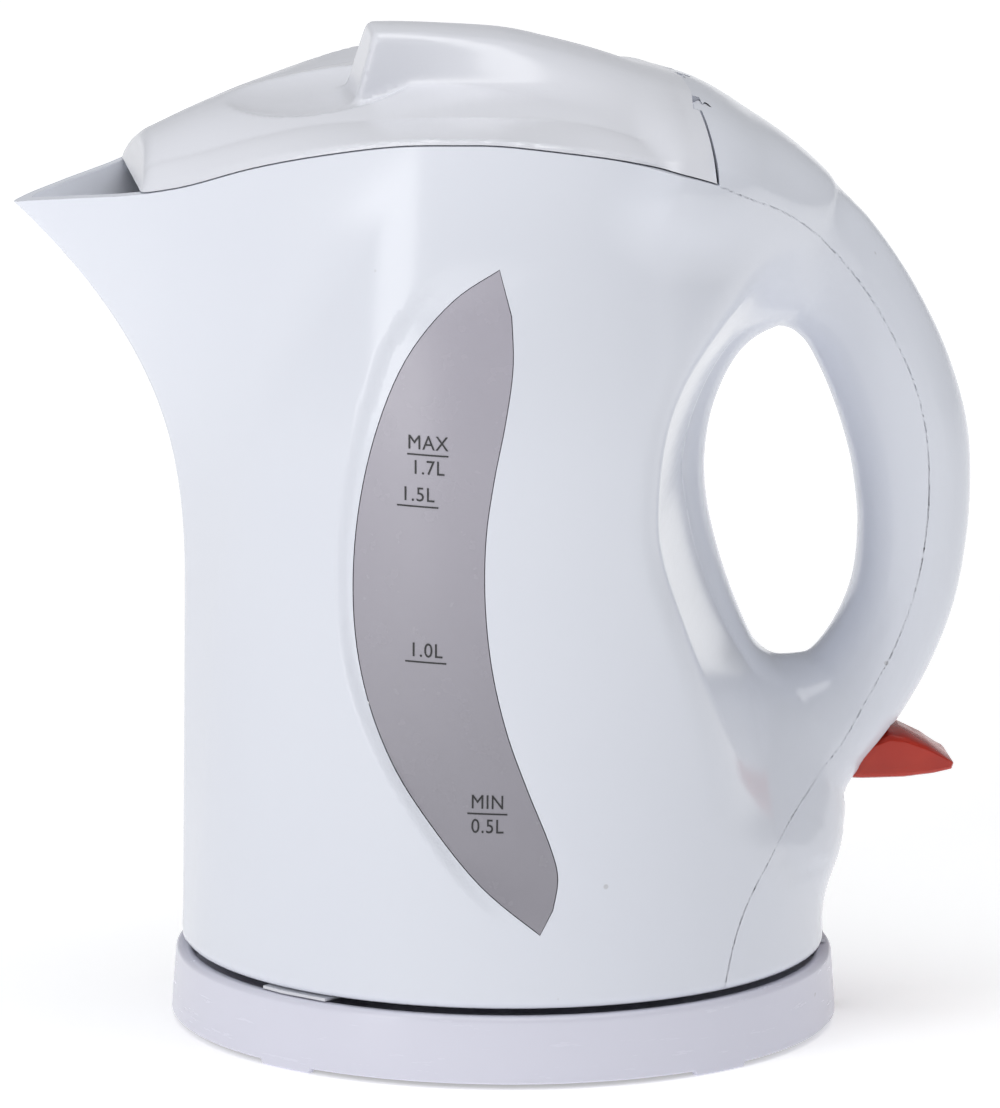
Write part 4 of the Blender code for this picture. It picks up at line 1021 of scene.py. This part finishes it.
def clear_red():
    finish = Finish("clear_red", (0.62, 0.035, 0.015), 0.2, IOR=1.49, Transmission_Weight=0.25)
    finish.feed("Base Color", finish.mix(finish.noise(90.0, 3.0), (0.72, 0.05, 0.02), (0.50, 0.02, 0.01)))
    finish.feed("Roughness", finish.noise(240.0, 3.0) * 0.15 + 0.14)
    finish.relief(finish.noise(600.0, 2.0), 0.00003)
    return finish.material


def grained(name, colour, paler, roughness, grain=1400.0, deep=0.00004):
    finish = Finish(name, colour, roughness, IOR=1.48)
    finish.feed("Base Color", finish.mix(finish.noise(60.0, 4.0), colour, paler))
    finish.feed("Roughness", finish.noise(300.0, 2.0) * 0.2 + (roughness - 0.1))
    finish.relief(finish.noise(grain, 3.0), deep)
    return finish.material


black_plastic = grained("black_plastic", (0.018, 0.018, 0.02), (0.035, 0.035, 0.038), 0.5)
rubber = grained("foot_rubber", (0.03, 0.03, 0.032), (0.06, 0.06, 0.062), 0.75, 900.0, 0.00008)
ink = grained("mark_ink", (0.012, 0.012, 0.014), (0.03, 0.03, 0.033), 0.4, 2000.0, 0.00001)


# %% [markdown]
# ## Metals
# The heater plate is rolled stainless steel with its lay along one way, the element's tube is cast
# aluminium, and the contacts are brass that has darkened where it is handled.

# %% Metals
def metal(name, colour, worn, roughness, lay=(1, 1, 1), scale=240.0):
    finish = Finish(name, colour, roughness, Metallic=1.0)
    grain = finish.noise(scale, 5.0, 0.6, lay)
    finish.feed("Base Color", finish.mix(finish.noise(35.0, 4.0), colour, worn))
    finish.feed("Roughness", grain * 0.25 + (roughness - 0.12))
    finish.relief(grain, 0.00003)
    return finish.material


steel = metal("rolled_steel", (0.62, 0.62, 0.63), (0.50, 0.50, 0.52), 0.28, (1, 14, 1))
aluminium = metal("cast_aluminium", (0.72, 0.73, 0.74), (0.58, 0.58, 0.60), 0.42, scale=500.0)
brass = metal("contact_brass", (0.78, 0.57, 0.25), (0.55, 0.38, 0.16), 0.3)
smoked_pane, paddle_red = smoked(), clear_red()

# %% [markdown]
# ## Riding, replacing and finishing
# Each new piece stands for the CAD node that it refines and rides on the body that the node belongs to. The
# other CAD nodes keep their shapes and get a real finish.

# %% New pieces
PIECES = (
    (jug, gloss_white, "jug", "gloss_white", ("jug_body",)),
    (cover, cover_white, "jug", "gloss_white", ("handle_cover",)),
    (windows[0], smoked_pane, "jug", "smoked_window", ("water_window_left",)),
    (windows[1], smoked_pane, "jug", "smoked_window", ("water_window_right",)),
    (marks, ink, "jug", "black_plastic", ()),
    (lid, lid_white, "lid", "gloss_white", ("lid_top",)),
    (base, base_white, "base", "gloss_white_base", ("base_top",)),
    (paddle, paddle_red, "switch", "red_paddle", ("power_switch",)),
    (trimmed[0], inner_white, "lid", "gloss_white", ("lid_liner",)),
    (trimmed[1], inner_white, "jug", "gloss_white", ("filter_frame",)),
)
for piece, finish, body, slot, nodes in PIECES:
    piece.data.materials.clear()
    piece.data.materials.append(finish)
    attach(piece, body)
    if nodes:
        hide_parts(*nodes)
print(len(PIECES), "new pieces")

# %% Finishes of the CAD nodes
KEPT = (
    (black_plastic, ("base_bottom", "control_unit", "jug_connector", "steam_switch")),
    (rubber, ("base_foot_1", "base_foot_2", "base_foot_3", "base_foot_4", "plate_seal")),
    (steel, ("base_screw_1", "base_screw_2", "base_screw_3", "cover_screw_1", "cover_screw_2",
             "cover_screw_3", "heater_plate", "filter_screen", "lid_hinge_pin", "switch_pin")),
    (brass, ("live_contact", "neutral_contact", "earth_contact", "live_ring", "neutral_ring", "earth_pin",
             "bimetal_disc")),
    (aluminium, ("heating_element",)),
    (inner_white, ("cord_clamp", "bottom_cover", "steam_tube")),
)
for finish, nodes in KEPT:
    for node in nodes:
        mesh = frame["nodes"][node].data
        mesh.materials.clear()
        mesh.materials.append(finish)
finished = {node for *_, nodes in KEPT + PIECES for node in nodes}
print("nodes with no finish", sorted(set(frame["nodes"]) - finished))

# %% [markdown]
# ## Studio
# The kettle stands on a wide white floor that glows a little, and more so far out, which keeps the background
# white. A tall soft box on the left lights the jug, a narrow weak one on the right edges the handle, and a
# wide one overhead lights the lid.

# %% Floor
floor_mesh = bpy.data.meshes.new("floor")
FLOOR_HALF = 12.0
corners = [(x * FLOOR_HALF, y * FLOOR_HALF, 0) for x, y in ((-1, -1), (1, -1), (1, 1), (-1, 1))]
floor_mesh.from_pydata(corners, [], [(0, 1, 2, 3)])
floor = bpy.data.objects.new("floor", floor_mesh)
bpy.context.scene.collection.objects.link(floor)
paper = Finish("floor_paper", (0.93, 0.93, 0.93), 0.9, Emission_Strength=0.66)
far_out = (paper.axis("X") * paper.axis("X") + paper.axis("Y") * paper.axis("Y")).between(0.02, 0.8)
paper.feed("Emission Color", paper.mix(far_out, (0.55, 0.55, 0.55), (1.0, 1.0, 1.0)))
paper.feed("Base Color", paper.mix(paper.noise(3.0), (0.93, 0.93, 0.93), (0.915, 0.915, 0.92)))
floor_mesh.materials.append(paper.material)


# %% Lights
def soft_box(name, where, target, size, power):
    lamp = bpy.data.lights.new(name, "AREA")
    lamp.shape, lamp.size, lamp.size_y = "RECTANGLE", size[0], size[1]
    lamp.energy = power
    holder = bpy.data.objects.new(name, lamp)
    holder.location = where
    holder.rotation_euler = (Vector(target) - Vector(where)).to_track_quat("-Z", "Y").to_euler()
    bpy.context.scene.collection.objects.link(holder)


soft_box("left_strip", (-1.15, -0.95, 0.55), (0, 0, 0.12), (0.42, 1.3), 5.8)
soft_box("right_strip", (1.05, -0.75, 0.5), (0.02, 0, 0.12), (0.22, 1.2), 0.4)
soft_box("overhead", (0.0, -0.1, 1.5), (0, 0, 0.1), (1.3, 1.0), 11.5)
sky = bpy.data.worlds.new("studio")
sky.use_nodes = True
sky.node_tree.nodes["Background"].inputs["Color"].default_value = (0.97, 0.98, 1.0, 1)
sky.node_tree.nodes["Background"].inputs["Strength"].default_value = 0.27
bpy.context.scene.world = sky
bpy.context.scene.view_settings.view_transform = "Standard"
print("lights set")
